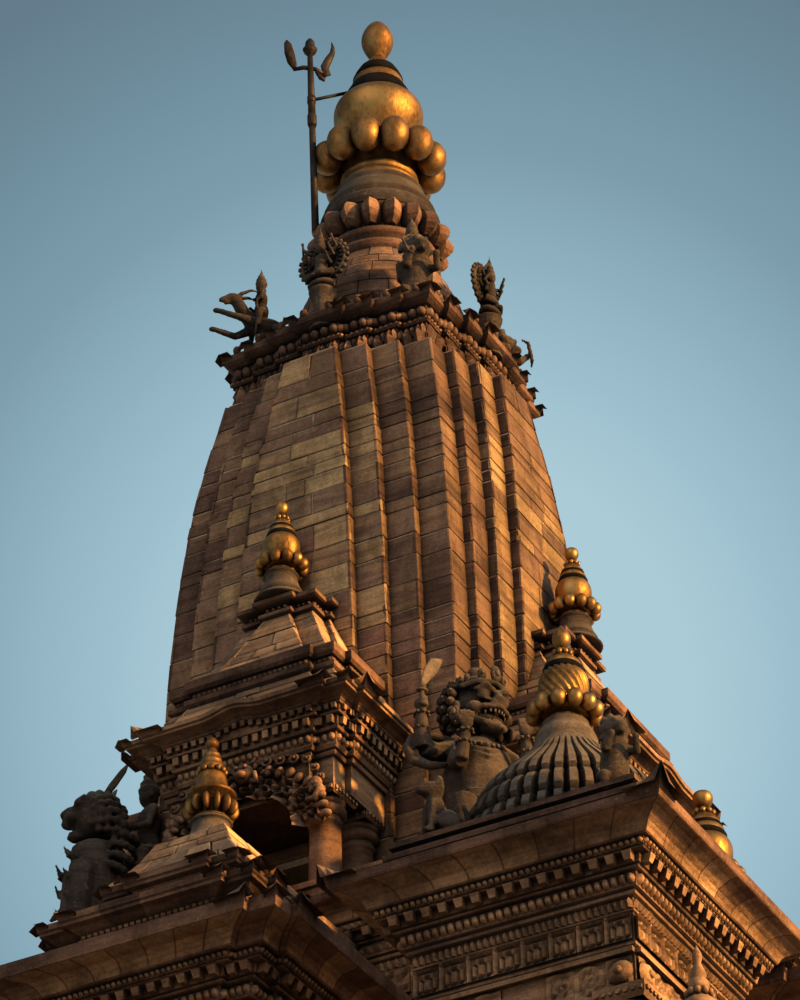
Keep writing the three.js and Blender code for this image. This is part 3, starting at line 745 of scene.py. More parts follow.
# Every stone below has painted shade in hollows, under ledges and on faces that look down; the carved and the
# grey stone also have painted sunlight on faces turned to +X.
SANDSTONE = rock("sandstone_blocks", SANDSTONE_STOPS, 0.8)
CARVED = rock("carved_sandstone", CARVED_STOPS, 0.8, wear=0.35, hollow=0.04, painted_sunlight=1.2)
MASONRY = rock("coursed_masonry", SANDSTONE_STOPS, 0.6, masonry=(0.46, 0.17))
PAVING = rock("terrace_stone", DARK_STOPS, 0.6, masonry=(0.62, 0.2))
MORTAR = rock("pale_mortar", MORTAR_STOPS, 0.3, dust=0.0, wear=0.1, hollow=0.85)
GRIMY = rock("grimy_stone", DARK_STOPS, 0.5, dust=0.5, wear=0.2)
GREY = rock("grey_stone", GREY_STOPS, 0.8, wear=0.25, hollow=0.05, painted_sunlight=0.3)
RED = rock("red_sandstone", RED_STOPS, 0.35, wear=0.15)
GOLD = metal("worn_gilding", (0.11, 0.05, 0.016), (0.39, 0.206, 0.064), 0.38)
BRONZE = metal("dull_gilding", (0.09, 0.042, 0.016), (0.31, 0.162, 0.056), 0.46)
BLACK = metal("black_bands", (0.004, 0.004, 0.004), (0.01, 0.009, 0.008), 0.7, 0.0, 0.05)
IRON = metal("dark_iron", (0.02, 0.016, 0.015), (0.06, 0.045, 0.038), 0.55)


# Gilded finials.

def lobes(shape, count, radius, z, size, start=0.0, tint=0.6, slot=0, around=12, down=8):
    """Ring of egg-shaped lobes."""
    for angle in angles(count, start):
        centre = (radius * cos(angle), radius * sin(angle), z)
        ball(shape, centre, size, Matrix.Rotation(angle, 3, "Z"), around, down, tint, slot)


def top_finial():
    """Gilded finial of the tower, from its ring of lobes up to the bud."""
    shape = Shape()
    lathe(shape, [(0.29, 21.1), (0.305, 21.13), (0.305, 21.17), (0.285, 21.18), (0.3, 21.2), (0.3, 21.23),
                  (0.275, 21.25), (0.25, 21.3), (0.27, 21.36), (0.32, 21.46), (0.32, 21.54), (0.25, 21.62),
                  (0.25, 21.66)], 48, slot=2)
    lathe(shape, rounded([(0.25, 21.65), (0.3, 21.72), (0.335, 21.79), (0.347, 21.87), (0.34, 21.94),
                          (0.305, 22.0), (0.245, 22.055)], 3), 56)
    for foot, head, r0, r1 in ((22.03, 22.18, 0.268, 0.205), (22.255, 22.375, 0.19, 0.138)):
        lathe(shape, [(r0 - 0.01, foot), (r0 + 0.006, foot + 0.01),
                      ((r0 + r1) / 2 + 0.012, (foot + head) / 2), (r1 + 0.006, head),
                      (r1 - 0.01, head + 0.005)], 48, slot=1)
    lathe(shape, [(0.207, 22.165), (0.206, 22.2), (0.186, 22.265)], 48, slot=2)
    lathe(shape, rounded([(0.142, 22.355), (0.125, 22.39), (0.098, 22.43), (0.07, 22.475), (0.062, 22.505),
                          (0.088, 22.555), (0.116, 22.62), (0.126, 22.685), (0.112, 22.755), (0.076, 22.825),
                          (0.03, 22.875), (0.0, 22.893)], 3), 36, slot=2)
    lobes(shape, 12, 0.41, 21.395, (0.118, 0.116, 0.15), radians(15), slot=2, around=16, down=12)
    return shape


def pot_finial(fluted, width=1.0, height=1.0, lobe_width=1.0, tall_cone=False):
    """Gilded finial: base ring, ring of lobes, pot, banded cone, petals and bud."""
    shape = Shape()
    w, h, t = width, height, width * lobe_width

    def turned(profile, sides, slot=0, ripple=None):
        lathe(shape, [(r * w, z * h) for r, z in profile], sides, ripple=ripple, slot=slot)

    turned([(0.0, 0.0), (0.12, 0.0), (0.126, 0.012), (0.126, 0.026), (0.112, 0.032), (0.118, 0.05)], 28)
    lathe(shape, [(0.116 * w, 0.045 * h), (0.145 * t, 0.06 * h), (0.166 * t, 0.085 * h),
                  (0.11 * t, 0.125 * h)], 32)
    lobes(shape, 12, 0.174 * t, 0.08 * h, (0.051 * t, 0.0475 * t, 0.06 * h), radians(15))
    flutes = None
    if fluted:
        def flutes(angle, share):
            return 1 + 0.13 * abs(sin(9 * (angle + 1.6 * share))) - 0.09
    belly = [(0.104, 0.105), (0.132, 0.145), (0.151, 0.2), (0.158, 0.255), (0.151, 0.31), (0.128, 0.35),
             (0.1, 0.372)]
    turned(rounded(belly, 6 if fluted else 3), 108 if fluted else 30, 0, flutes)
    turned([(0.1, 0.345), (0.128, 0.35), (0.13, 0.378), (0.12, 0.396), (0.085, 0.398)], 28, 1)
    bud = 0.0
    if tall_cone:
        turned([(0.118, 0.392), (0.116, 0.42), (0.104, 0.438)], 24)
        turned([(0.098, 0.432), (0.106, 0.44), (0.102, 0.462), (0.09, 0.47)], 24, 1)
        bud = 0.06
    wide = 0.096 if tall_cone else 0.116
    turned([(wide, 0.392 + bud), (wide, 0.418 + bud), (wide - 0.014, 0.436 + bud), (0.074, 0.444 + bud),
            (0.066, 0.46 + bud), (0.056, 0.474 + bud), (0.038, 0.5 + bud), (0.022, 0.535 + bud)], 24)
    for angle in angles(9):
        ball(shape, (0.056 * w * cos(angle), 0.056 * w * sin(angle), (0.488 + bud) * h),
             (0.021 * w, 0.019 * w, 0.024 * h), Matrix.Rotation(angle, 3, "Z"), 6, 5)
    turned(rounded([(0.02, 0.528 + bud), (0.046, 0.552 + bud), (0.061, 0.592 + bud), (0.053, 0.634 + bud),
                    (0.02, 0.676 + bud * 0.6), (0.0, 0.7 + bud * 0.5)], 3), 20)
    return shape


def spire_finial():
    """Finial with a ring of drop-shaped lobes, a bell drum, ringed spire and bud."""
    shape = Shape()
    lathe(shape, rounded([(0.0, 0.0), (0.118, 0.0), (0.1, 0.02), (0.092, 0.05)], 2), 28)
    lobes(shape, 13, 0.128, 0.08, (0.05, 0.023, 0.06), 0.2, around=10, down=8)
    lathe(shape, [(0.09, 0.04), (0.09, 0.15), (0.15, 0.165), (0.158, 0.178), (0.152, 0.192), (0.128, 0.205)],
          32)
    lathe(shape, rounded([(0.128, 0.2), (0.112, 0.225), (0.098, 0.27), (0.09, 0.32), (0.072, 0.345)], 3), 32)
    for angle in angles(12):
        ball(shape, (0.082 * cos(angle), 0.082 * sin(angle), 0.352), (0.022, 0.02, 0.024),
             Matrix.Rotation(angle, 3, "Z"), 6, 5)
    lathe(shape, [(0.07, 0.35), (0.078, 0.375), (0.074, 0.4), (0.062, 0.408), (0.068, 0.425), (0.064, 0.445),
                  (0.05, 0.452), (0.056, 0.47), (0.05, 0.488), (0.034, 0.495), (0.03, 0.515), (0.022, 0.53)],
                  24)
    lathe(shape, rounded([(0.018, 0.525), (0.04, 0.545), (0.044, 0.568), (0.03, 0.595), (0.0, 0.622)], 3), 20)
    return shape


def stone_finial():
    """Slim stone finial of the lower pavilions."""
    shape = Shape()
    lathe(shape, [(0.125, 0), (0.118, 0.03), (0.13, 0.05), (0.1, 0.09), (0.085, 0.14), (0.1, 0.155),
                  (0.104, 0.18), (0.088, 0.2), (0.092, 0.32), (0.098, 0.4), (0.06, 0.43), (0.055, 0.45)], 24)
    for z, radius in ((0.205, 0.094), (0.33, 0.098)):
        lathe(shape, [(radius - 0.006, z), (radius, z + 0.008), (radius, z + 0.034),
                      (radius - 0.006, z + 0.042)], 24, slot=1)
    lobes(shape, 10, 0.055, 0.455, (0.026, 0.02, 0.026), around=8, down=6)
    lathe(shape, [(0.045, 0.47), (0.056, 0.5), (0.05, 0.53), (0.036, 0.545), (0.044, 0.565), (0.034, 0.6),
                  (0.018, 0.635), (0.026, 0.665), (0.026, 0.69), (0.012, 0.72), (0.0, 0.745)], 20)
    return shape


def trident():
    """Iron trident on a pole: crossbar, two side prongs, a curl under them and a strut to the pot."""
    shape = Shape()
    x, y = -0.38, -0.4
    foot = (x + 0.045, y, 20.6)
    tube(shape, [foot, (x + 0.02, y, 21.6), (x + 0.018, y, 21.7)], [0.03, 0.026, 0.024], 10)
    tube(shape, [(x + 0.019, y, 21.66), (x + 0.018, y, 21.69), (x + 0.016, y, 21.76), (x + 0.015, y, 21.79)],
         [0.03, 0.037, 0.037, 0.03], 12)
    tube(shape, [(x + 0.016, y, 21.78), (x, y, 22.42)], [0.031, 0.022], 10)
    tube(shape, [(x + 0.012, y, 21.93), (x * 0.45, y * 0.45, 22.09)], [0.014, 0.014], 8)
    tube(shape, [(x + 0.012, y, 21.9), (x + 0.012, y, 21.96)], [0.034, 0.034], 10)
    lathe(shape, [(0.02, 22.4), (0.046, 22.425), (0.058, 22.455), (0.04, 22.468), (0.04, 22.49),
                  (0.036, 22.53), (0.018, 22.56), (0.0, 22.575)], 14, (x, y))
    c, s = cos(radians(37.5)), sin(radians(37.5))

    def at(u, z):
        return (x + u * c, y + u * s, z)

    tube(shape, [at(-0.13, 22.235), at(-0.05, 22.265), at(0.04, 22.26), at(0.1, 22.215)],
         [0.014, 0.018, 0.018, 0.02], 8)
    tube(shape, [at(-0.115, 22.225), at(-0.14, 22.3), at(-0.16, 22.4), at(-0.175, 22.5), at(-0.182, 22.535)],
         [0.012, 0.038, 0.042, 0.03, 0.006], 8, flat=0.4)
    tube(shape, [at(0.1, 22.19), at(0.13, 22.22), at(0.115, 22.29), at(0.145, 22.37), at(0.175, 22.44),
                 at(0.18, 22.5), at(0.17, 22.555)], [0.012, 0.036, 0.034, 0.03, 0.022, 0.015, 0.003], 8,
                 flat=0.5)
    tube(shape, [at(0.05, 22.235), at(0.085, 22.175), at(0.11, 22.155), at(0.12, 22.18)],
         [0.014, 0.02, 0.016, 0.006], 8)
    return shape


# Stone neck and the cornice at the tower's head.

def tower_neck():
    """Round neck laid in stones, with mouldings and a ring of petals at its head."""
    shape = Shape()
    profile = rounded([(0.72, 19.28), (0.7, 19.45), (0.66, 19.68), (0.6, 19.9), (0.525, 20.08),
                       (0.42, 20.27)], 3)
    heights = [z for _, z in profile]
    radii = [r for r, _ in profile]
    z = 19.28
    while z < 20.26:
        top = min(20.27, z + RNG.uniform(0.1, 0.15))
        count = RNG.randint(14, 18)
        shift = RNG.random()
        for i in range(count):
            a0, a1 = [2 * pi * (i + shift + k) / count for k in (0, 1)]
            parts = 3
            tint = RNG.uniform(0.0, 0.45)
            lift = RNG.uniform(0.0, 0.008)
            points = []
            for h in (z + 0.004, top - 0.004):
                r = np.interp(h, heights, radii) + lift
                for k in range(parts + 1):
                    a = a0 + 0.006 + (a1 - a0 - 0.012) * k / parts
                    points.append((r * cos(a), r * sin(a), h))
            faces = [(k, k + 1, k + parts + 2, k + parts + 1) for k in range(parts)]
            shape.add(points, faces, tint, True)
        z = top
    lathe(shape, [(r - 0.006, h) for r, h in profile], 40, tint=0.15)
    lathe(shape, [(0.42, 20.25), (0.445, 20.28), (0.452, 20.31), (0.445, 20.34), (0.405, 20.36), (0.4, 20.39),
                  (0.432, 20.41), (0.44, 20.44), (0.432, 20.47), (0.395, 20.485), (0.4, 20.53), (0.43, 20.57),
                  (0.44, 20.62), (0.45, 20.74)], 48, tint=0.15)
    count = 18
    for i in range(count):
        petal(shape, 2 * pi * (i + 0.5) / count, 0.43, 20.485, 0.088, 0.155, 0.235, RNG.uniform(0.0, 0.35))
    return shape


def petal(shape, angle, radius, foot, wide, deep, tall, tint):
    """Stone petal with a keel, standing out from a round neck."""
    points = []
    levels = 7
    across = ((-1.0, 0.0), (-0.72, 0.62), (0.0, 1.0), (0.72, 0.62), (1.0, 0.0))
    width = len(across)
    for j in range(levels):
        share = j / (levels - 1)
        swell = sin(pi * (0.08 + 0.86 * share)) ** 0.6
        for u, v in across:
            x, y = radius - 0.03 + deep * v * swell, wide * u * swell
            points.append((x * cos(angle) - y * sin(angle), x * sin(angle) + y * cos(angle),
                           foot + tall * share))
    ends = [tuple(reversed(range(width))), tuple((levels - 1) * width + k for k in range(width))]
    shape.add(points, strips(levels, width) + ends, tint)


def neck_bell():
    """Grey bell between the ring of petals and the gilded finial."""
    shape = Shape()
    lathe(shape, [(0.455, 20.7), (0.462, 20.74), (0.458, 20.79), (0.44, 20.82), (0.425, 20.84),
                  (0.432, 20.87), (0.415, 20.91), (0.385, 20.97), (0.352, 21.03), (0.338, 21.06),
                  (0.345, 21.075), (0.335, 21.1), (0.3, 21.14)], 56, tint=0.28)
    return shape


def cornice_outline(half):
    """Outline of the cornice at the head of the tower, with three steps at each corner."""
    return stepped(half, 0.045, 0.212, 3)


def tower_cornice():
    """Mouldings and carving of the cornice at the head of the tower."""
    shape = Shape()
    sweep(shape, cornice_outline, [(0.78, 18.83), (0.8, 18.835), (0.8, 18.855), (0.785, 18.86),
                                   (0.785, 19.045), (0.805, 19.05), (0.818, 19.072), (0.8, 19.09),
                                   (0.785, 19.1), (0.785, 19.205), (0.81, 19.212), (0.84, 19.23),
                                   (0.86, 19.247), (0.86, 19.3), (0.845, 19.318), (0.7, 19.33)], 0.02, 0.12,
                                   0.5)
    cap(shape, cornice_outline(0.7), 19.33, 0.4)
    face = cornice_outline(0.785)
    row(shape, leaf(0.088, 0.17, 0.058), face, 18.868, 0.092, 0.12)
    row(shape, leaf(0.036, 0.085, 0.04), face, 18.955, 0.046, 0.08)
    row(shape, bead(0.036, 0.042, 0.045, 8, 2), cornice_outline(0.79), 19.15, 0.078, 0.2)
    row(shape, bead(0.014, 0.014, 0.014, 6, 1), cornice_outline(0.816), 19.07, 0.04, 0.15)
    ears(shape, cornice_outline(0.86), 19.3, 0.08, 0.038, 0.6, 0.1)
    row(shape, bead(0.035, 0.03, 0.045, 8, 2), cornice_outline(0.845), 19.335, 0.24, 0.1)
    return shape


# Masonry of the tower.

def tower_blocks():
    """Courses of blocks up the curve of the tower."""
    shape = Shape()

    def behind_porch(middle, z):
        x, y = abs(middle[0]), abs(middle[1])
        inner = min(x, y)
        return inner < 0.33 and z < 14.6

    def band_tone_and_riser_shade(middle, length):
        """The set-back bands are darker than the wide middle ones; their narrow returns are darker still, as
        painted shade.
        """
        inner, outer = sorted((abs(middle[0]), abs(middle[1])))
        # Painted shade on the narrow returns between the bands.
        if length < 0.15:
            return -0.4
        return 0.2 if inner < outer * 0.5 else -0.2

    courses(shape, tower_outline, TERRACE_C, TOWER_TOP, 0.15, 0.32, 0.005, 0.008, 0.45, 0.27, behind_porch,
            band_tone_and_riser_shade)
    return shape


# Cornice of a pavilion, from its frieze up to its slab.

def rich_cornice(shape, outline, wall, slab, fine=True, fascia=0.03):
    """Frieze, leaves, beads, a hollow band and a slab with horns. wall and slab are (half, z)."""
    w, top = wall[0], slab[1]
    reach = slab[0] - w
    k = reach / 0.365
    around, rings = (8, 2) if fine else (6, 1)

    def moulding(profile, tint, length=0.6, spread=0.15, seam=0.0):
        sweep(shape, outline, [(w + out, top + z) for out, z in profile], tint, spread, length, seam=seam)

    def pieces(part, out, z, spacing):
        row(shape, part, outline(w + out), top + z, spacing if fine else 1.3 * spacing)

    moulding([(0.0, -0.7), (0.012, -0.69), (0.012, -0.672), (0.0, -0.665), (0.0, -0.49), (0.01, -0.482),
              (0.01, -0.468)], 0.45)
    grid = (9 if outline is square else 7) if fine else 5
    row(shape, niche_panel(0.165, 0.165, grid), outline(w + 0.001), top - 0.66, 0.178)
    moulding([(0.004, -0.468), (0.008, -0.402), (0.014, -0.4), (0.034 * k, -0.392), (0.04 * k, -0.382),
              (0.034 * k, -0.372), (0.03 * k, -0.366)], 0.45)
    pieces(leaf(0.038, 0.062, 0.032), 0.006, -0.464, 0.04)
    moulding([(0.03 * k, -0.366), (0.054 * k, -0.358), (0.058 * k, -0.276), (0.085 * k, -0.268),
              (0.093 * k, -0.258), (0.085 * k, -0.25)], 0.35)
    pieces(bead(0.024, 0.04, 0.036, around, rings), 0.054 * k, -0.316, 0.05)
    moulding([(0.085 * k, -0.25), (0.1 * k, -0.245), (0.11 * k, -0.2), (0.15 * k, -0.195),
              (0.158 * k, -0.187), (0.15 * k, -0.18)], 0.3)
    pieces(slab_part(0.058, 0.064, 0.05, 0.7), 0.104 * k, -0.247, 0.104)
    moulding([(0.15 * k, -0.18), (0.158 * k, -0.178), (0.165 * k, -0.14), (0.19 * k, -0.135),
              (0.197 * k, -0.127)], 0.3)
    pieces(bead(0.017, 0.024, 0.02, 6, rings), 0.163 * k, -0.159, 0.038)
    moulding([(0.198 * k, -0.127), (0.208 * k, -0.104), (0.226 * k, -0.08), (0.256 * k, -0.06),
              (0.3 * k, -fascia - 0.008), (reach - 0.016, -fascia - 0.004)], 0.6, 0.24, 0.3, 0.01)
    moulding([(reach - 0.016, -fascia - 0.004), (reach - 0.01, -fascia), (reach - 0.004, -fascia * 0.6),
              (reach, 0.0), (reach, 0.028), (reach - 0.02, 0.034)], 0.1)
    ears(shape, outline(slab[0]), top + 0.02, 0.2, 0.13 if outline is square else 0.07, 0.35, 0.15)


def arch_wall(shape, half, y_out, y_in, foot, head, spread, spring, rise, cusps):
    """Wall facing -Y with an arched way through it; cusps scallop the arch."""
    def edge(x):
        share = min(1, abs(x) / spread)
        curve = spring + rise * sqrt(max(0, 1 - share ** 2.3))
        return curve - 0.045 * abs(sin(pi * cusps * (acos(share)) / pi))

    xs = [-half, -half * 0.5 - spread * 0.5] + [spread * sin(pi * (k / 24 - 0.5)) for k in range(25)]
    xs += [half * 0.5 + spread * 0.5, half]
    for a, b in zip(xs, xs[1:]):
        inside = max(abs(a), abs(b)) <= spread + 1e-6
        za, zb = (edge(a), edge(b)) if inside else (foot, foot)
        points = [(a, -y_out, za), (b, -y_out, zb), (b, -y_out, head), (a, -y_out, head),
                  (a, -y_in, za), (b, -y_in, zb), (b, -y_in, head), (a, -y_in, head)]
        faces = [(0, 1, 2, 3), (5, 4, 7, 6)]
        if inside:
            faces.append((0, 4, 5, 1))
        shape.add(points, faces)
    for side in (-spread, spread):
        points = [(side, -y_out, foot), (side, -y_in, foot), (side, -y_in, spring + 0.01),
                  (side, -y_out, spring + 0.01)]
        order = (0, 1, 2, 3) if side < 0 else (3, 2, 1, 0)
        shape.add(points, [order])


def column(shape, place, foot, head, radius, tint=0.5, fine=True, slot=0):
    """Round column with a stepped base, ring mouldings, ribbed cushion and square top."""
    x, y = place
    tall = head - foot
    b = radius * 1.28
    sides = 24 if fine else 14
    lathe(shape, [(b * 1.1, foot), (b * 1.1, foot + 0.06 * tall), (b * 0.98, foot + 0.075 * tall),
                  (b, foot + 0.1 * tall), (radius * 1.02, foot + 0.12 * tall)], 8, place, tint, slot=slot,
                  smooth=False)
    lathe(shape, [(radius, foot + 0.115 * tall), (radius * 0.97, foot + 0.45 * tall),
                  (radius * 0.93, foot + 0.74 * tall), (radius * 1.04, foot + 0.75 * tall),
                  (radius * 1.04, foot + 0.765 * tall), (radius * 0.93, foot + 0.775 * tall),
                  (radius * 0.95, foot + 0.8 * tall)], sides, place, tint, slot=slot)

    def ribs(angle, share):
        return 1 + 0.07 * abs(cos(9 * angle)) * sin(pi * share)

    cushion = [(radius * 0.95, foot + 0.8 * tall), (radius * 1.15, foot + 0.825 * tall),
               (radius * 1.22, foot + 0.865 * tall), (radius * 1.1, foot + 0.9 * tall)]
    lathe(shape, rounded(cushion, 2), 36 if fine else 18, place, tint, ribs if fine else None, slot)
    lathe(shape, [(radius * 1.1, foot + 0.9 * tall), (radius * 1.22, foot + 0.92 * tall),
                  (radius * 1.25, foot + 0.945 * tall), (radius * 1.1, foot + 0.95 * tall)], sides, place,
          tint, slot=slot)
    w = radius * 1.35
    block = Shape()
    sweep(block, square, [(w * 0.9, foot + 0.945 * tall), (w, foot + 0.96 * tall), (w, head), (0.01, head)],
          tint)
    shape.stamp(block, (x, y, 0))
    if fine:
        row(shape, slab_part(0.022, 0.014, 0.022), square(w) + np.array(place), foot + 0.965 * tall, 0.042,
            tint)


def room(shape, half, top, fine):
    """Open square room: stepped floor, arched walls and a column at each corner."""
    slab_top = 0.16
    sweep(shape, square, [(half + 0.09, 0.0), (half + 0.09, 0.07), (half + 0.06, 0.09), (half + 0.06, 0.13),
                          (half + 0.03, slab_top), (0.02, slab_top)], 0.4, 0.2, 0.5)
    inner = half - 0.19
    scrolls = scroll_panel(0.52, 0.2, *((24, 9) if fine else (16, 7)))
    for face in range(4):
        wall = Shape()
        arch_wall(wall, half - 0.03, half - 0.03, inner, slab_top, top, 0.42, 1.16, 0.42, 7)
        for side in (-1, 1):
            wall.stamp(scrolls, (side * 0.4, -half + 0.028, top - 0.3), 0, 1, 0.55)
            wall.stamp(bead(0.075, 0.04, 0.075, 12, 2), (side * (half - 0.11), -half + 0.01, top - 0.19), 0,
                       1, 0.6)
            wall.stamp(bead(0.035, 0.06, 0.035, 8, 2), (side * (half - 0.11), -half + 0.01, top - 0.19), 0, 1,
                       0.5)
        band = slab_part(2 * half - 0.05, 0.03, 0.03)
        wall.stamp(band, (0, -half + 0.02, top - 0.085), 0, 1, 0.5)
        shape.stamp(wall, (0, 0, 0), face * pi / 2)
    for sx in (-1, 1):
        for sy in (-1, 1):
            column(shape, (sx * (half - 0.1), sy * (half - 0.1)), slab_top, top - 0.3, 0.115, 0.5, fine)
    sweep(shape, square, [(0.02, top - 0.02), (half - 0.02, top - 0.02)], 0.2)


def seated_beast():
    """Small seated beast for a roof corner, looking out along -Y."""
    shape = Shape()
    ball(shape, (0, 0.05, 0.1), (0.075, 0.1, 0.1))
    ball(shape, (0, -0.03, 0.19), (0.055, 0.06, 0.1))
    ball(shape, (0, -0.06, 0.31), (0.055, 0.06, 0.055))
    ball(shape, (0, -0.115, 0.295), (0.03, 0.035, 0.026))
    ball(shape, (0, -0.01, 0.33), (0.068, 0.03, 0.085))
    for shape.side in (-1, 1):
        tube(shape, [(0.04, -0.06, 0.22), (0.045, -0.08, 0.02)], [0.025, 0.022], 8)
        ball(shape, (0.045, -0.09, 0.02), (0.026, 0.04, 0.02))
        ball(shape, (0.07, 0.03, 0.08), (0.035, 0.08, 0.075))
    tube(shape, [(0, 0.14, 0.05), (0.03, 0.17, 0.14), (0.0, 0.15, 0.26)], [0.022, 0.022, 0.012], 8)
    return shape


def dome(shape, count):
    """Melon dome with sharp ribs that end in hanging leaves, on a double slab."""
    sweep(shape, square, [(1.02, 2.755), (0.9, 2.78), (0.82, 2.83), (0.74, 2.835), (0.74, 2.875),
                          (0.765, 2.885), (0.8, 2.91), (0.8, 2.945), (0.745, 2.955), (0.745, 2.985),
                          (0.775, 2.995), (0.775, 3.03), (0.74, 3.05), (0.5, 3.075)], 0.05, 0.15, 0.5)

    def ribs(angle, share):
        wave = min(1.0, 1.5 * abs(sin(count / 2 * angle)))
        return 1 + (wave - 0.85) * (0.09 * (1 - share) + 0.05)

    lathe(shape, [(0.6, 3.03), (0.655, 3.07), (0.665, 3.12), (0.64, 3.18), (0.6, 3.2), (0.625, 3.24),
                  (0.6, 3.32), (0.56, 3.37), (0.53, 3.38), (0.548, 3.42), (0.5, 3.5), (0.43, 3.57),
                  (0.36, 3.64), (0.29, 3.71), (0.235, 3.78), (0.215, 3.8)], count * 4,
          tint=0.72, ripple=ribs, slot=1, smooth=False)
    lobes(shape, count, 0.64, 3.095, (0.038, 0.038, 0.048), pi / count, 0.65, 1, around=6, down=4)
    lathe(shape, [(0.225, 3.78), (0.205, 3.82), (0.185, 3.86), (0.19, 3.88), (0.17, 3.93), (0.145, 3.97),
                  (0.138, 3.985), (0.142, 4.0), (0.118, 4.02)], 36, tint=0.75, slot=1)


def corner_pavilion(upper):
    """Square pavilion with a ribbed dome; the lower ones are simpler and end in stone."""
    shape = Shape()
    room(shape, 0.7, 2.06, fine=upper)
    rich_cornice(shape, square, (0.675, 2.02), (1.035, 2.715), fine=upper)
    dome(shape, 44 if upper else 30)
    if not upper:
        shape.stamp(stone_finial(), (0, 0, 3.99), tint=0.6)
    return shape


def tier_edge(shape, outline, foot, wall, slab, horns):
    """Small tier: plain wall, bead row and a slab with horns. wall is a half width, slab is (half, z)."""
    s, z = slab
    sweep(shape, outline, [(wall, foot), (wall, z - 0.16), (wall + 0.02, z - 0.155), (wall + 0.02, z - 0.13),
                           (wall, z - 0.125), (wall + 0.01, z - 0.1), (s - 0.05, z - 0.06),
                           (s - 0.012, z - 0.05), (s - 0.012, z - 0.03), (s, z - 0.02), (s, z + 0.02),
                           (s - 0.015, z + 0.026)], 0.15, 0.25, 0.3)
    row(shape, bead(0.018, 0.022, 0.02, 6, 1), outline(wall + 0.012), z - 0.112, 0.042, 0.5)
    ears(shape, outline(s), z + 0.012, 0.13, horns, 0.3, 0.3)


def middle_pavilion(upper):
    """Square pavilion under a roof of spreading tiers; the lower ones are simpler and end in stone."""
    shape = Shape()
    room(shape, 0.68, 2.2, fine=upper)
    rich_cornice(shape, pavilion_tier, (0.67, 2.2), (1.13, 2.865), fine=upper, fascia=0.055)
    sweep(shape, pavilion_tier, [(1.11, 2.9), (0.98, 2.915), (0.8, 2.955), (0.66, 3.02), (0.64, 3.04)], 0.3,
          0.2, 0.3)
    sweep(shape, pavilion_tier, [(0.66, 3.0), (0.685, 3.02), (0.685, 3.05), (0.64, 3.06)], 0.1, 0.2, 0.4)
    tier_edge(shape, pavilion_tier, 3.05, 0.64, (0.753, 3.345), 0.046)
    sweep(shape, pavilion_tier, [(0.735, 3.37), (0.6, 3.39), (0.46, 3.43), (0.42, 3.47)], 0.5, 0.15, 0.3)
    tier_edge(shape, pavilion_tier, 3.45, 0.41, (0.484, 3.66), 0.036)
    slope = [(3.68, 0.455), (3.78, 0.385), (3.9, 0.305), (4.06, 0.235)]
    courses(shape, lambda z: square(np.interp(z, [h for h, _ in slope], [w for _, w in slope])), 3.68, 4.05,
            0.085, 0.17, 0.012, 0.006, 0.75, 0.2)
    lathe(shape, rounded([(0.215, 4.05), (0.185, 4.09), (0.15, 4.13), (0.128, 4.18), (0.118, 4.23),
                          (0.135, 4.245), (0.125, 4.262), (0.1, 4.27)], 2), 32, tint=0.8, slot=1)
    if not upper:
        shape.stamp(stone_finial(), (0, 0, 4.25), tint=0.6)
    return shape


# Porch at the tower's foot.

def eyebrow(x, y):
    """Lift of the middle of the front eave over the carved head of the doorway."""
    return 0.04 * cos(min(1.0, abs(x) / 0.22) * pi / 2) ** 2 if y < -1.72 else 0.0


def arch_relief(inner, outer, foot, y):
    """Leafy scrolls in relief over an arch, deeper towards the outer edge."""
    part = Shape()
    columns, rows = 60, 9
    pitch = 0.17
    points = []
    for j in range(rows + 1):
        for i in range(columns + 1):
            angle = pi * (i / columns - 0.5)
            share = j / rows
            r = inner + (outer - inner) * share
            along = angle * (inner + outer) / 2
            cell = round(along / pitch)
            dx, dz = along - cell * pitch, (share - 0.5) * (outer - inner)
            reach = hypot(dx, dz) + 1e-4
            turn = 1 if cell % 2 else -1
            swirl = cos(turn * atan2(dz, dx) + 8.0 * log(reach / pitch + 0.15))
            edge = 0.02 if j in (0, rows) else 0.0
            depth = 0.045 + 0.028 * swirl + 0.01 * cos(70 * along) * cos(60 * r) + edge
            points.append((r * sin(angle), y - depth, foot + r * cos(angle) * 0.82))
    part.add(points, strips(rows + 1, columns + 1), 0.35)
    return part


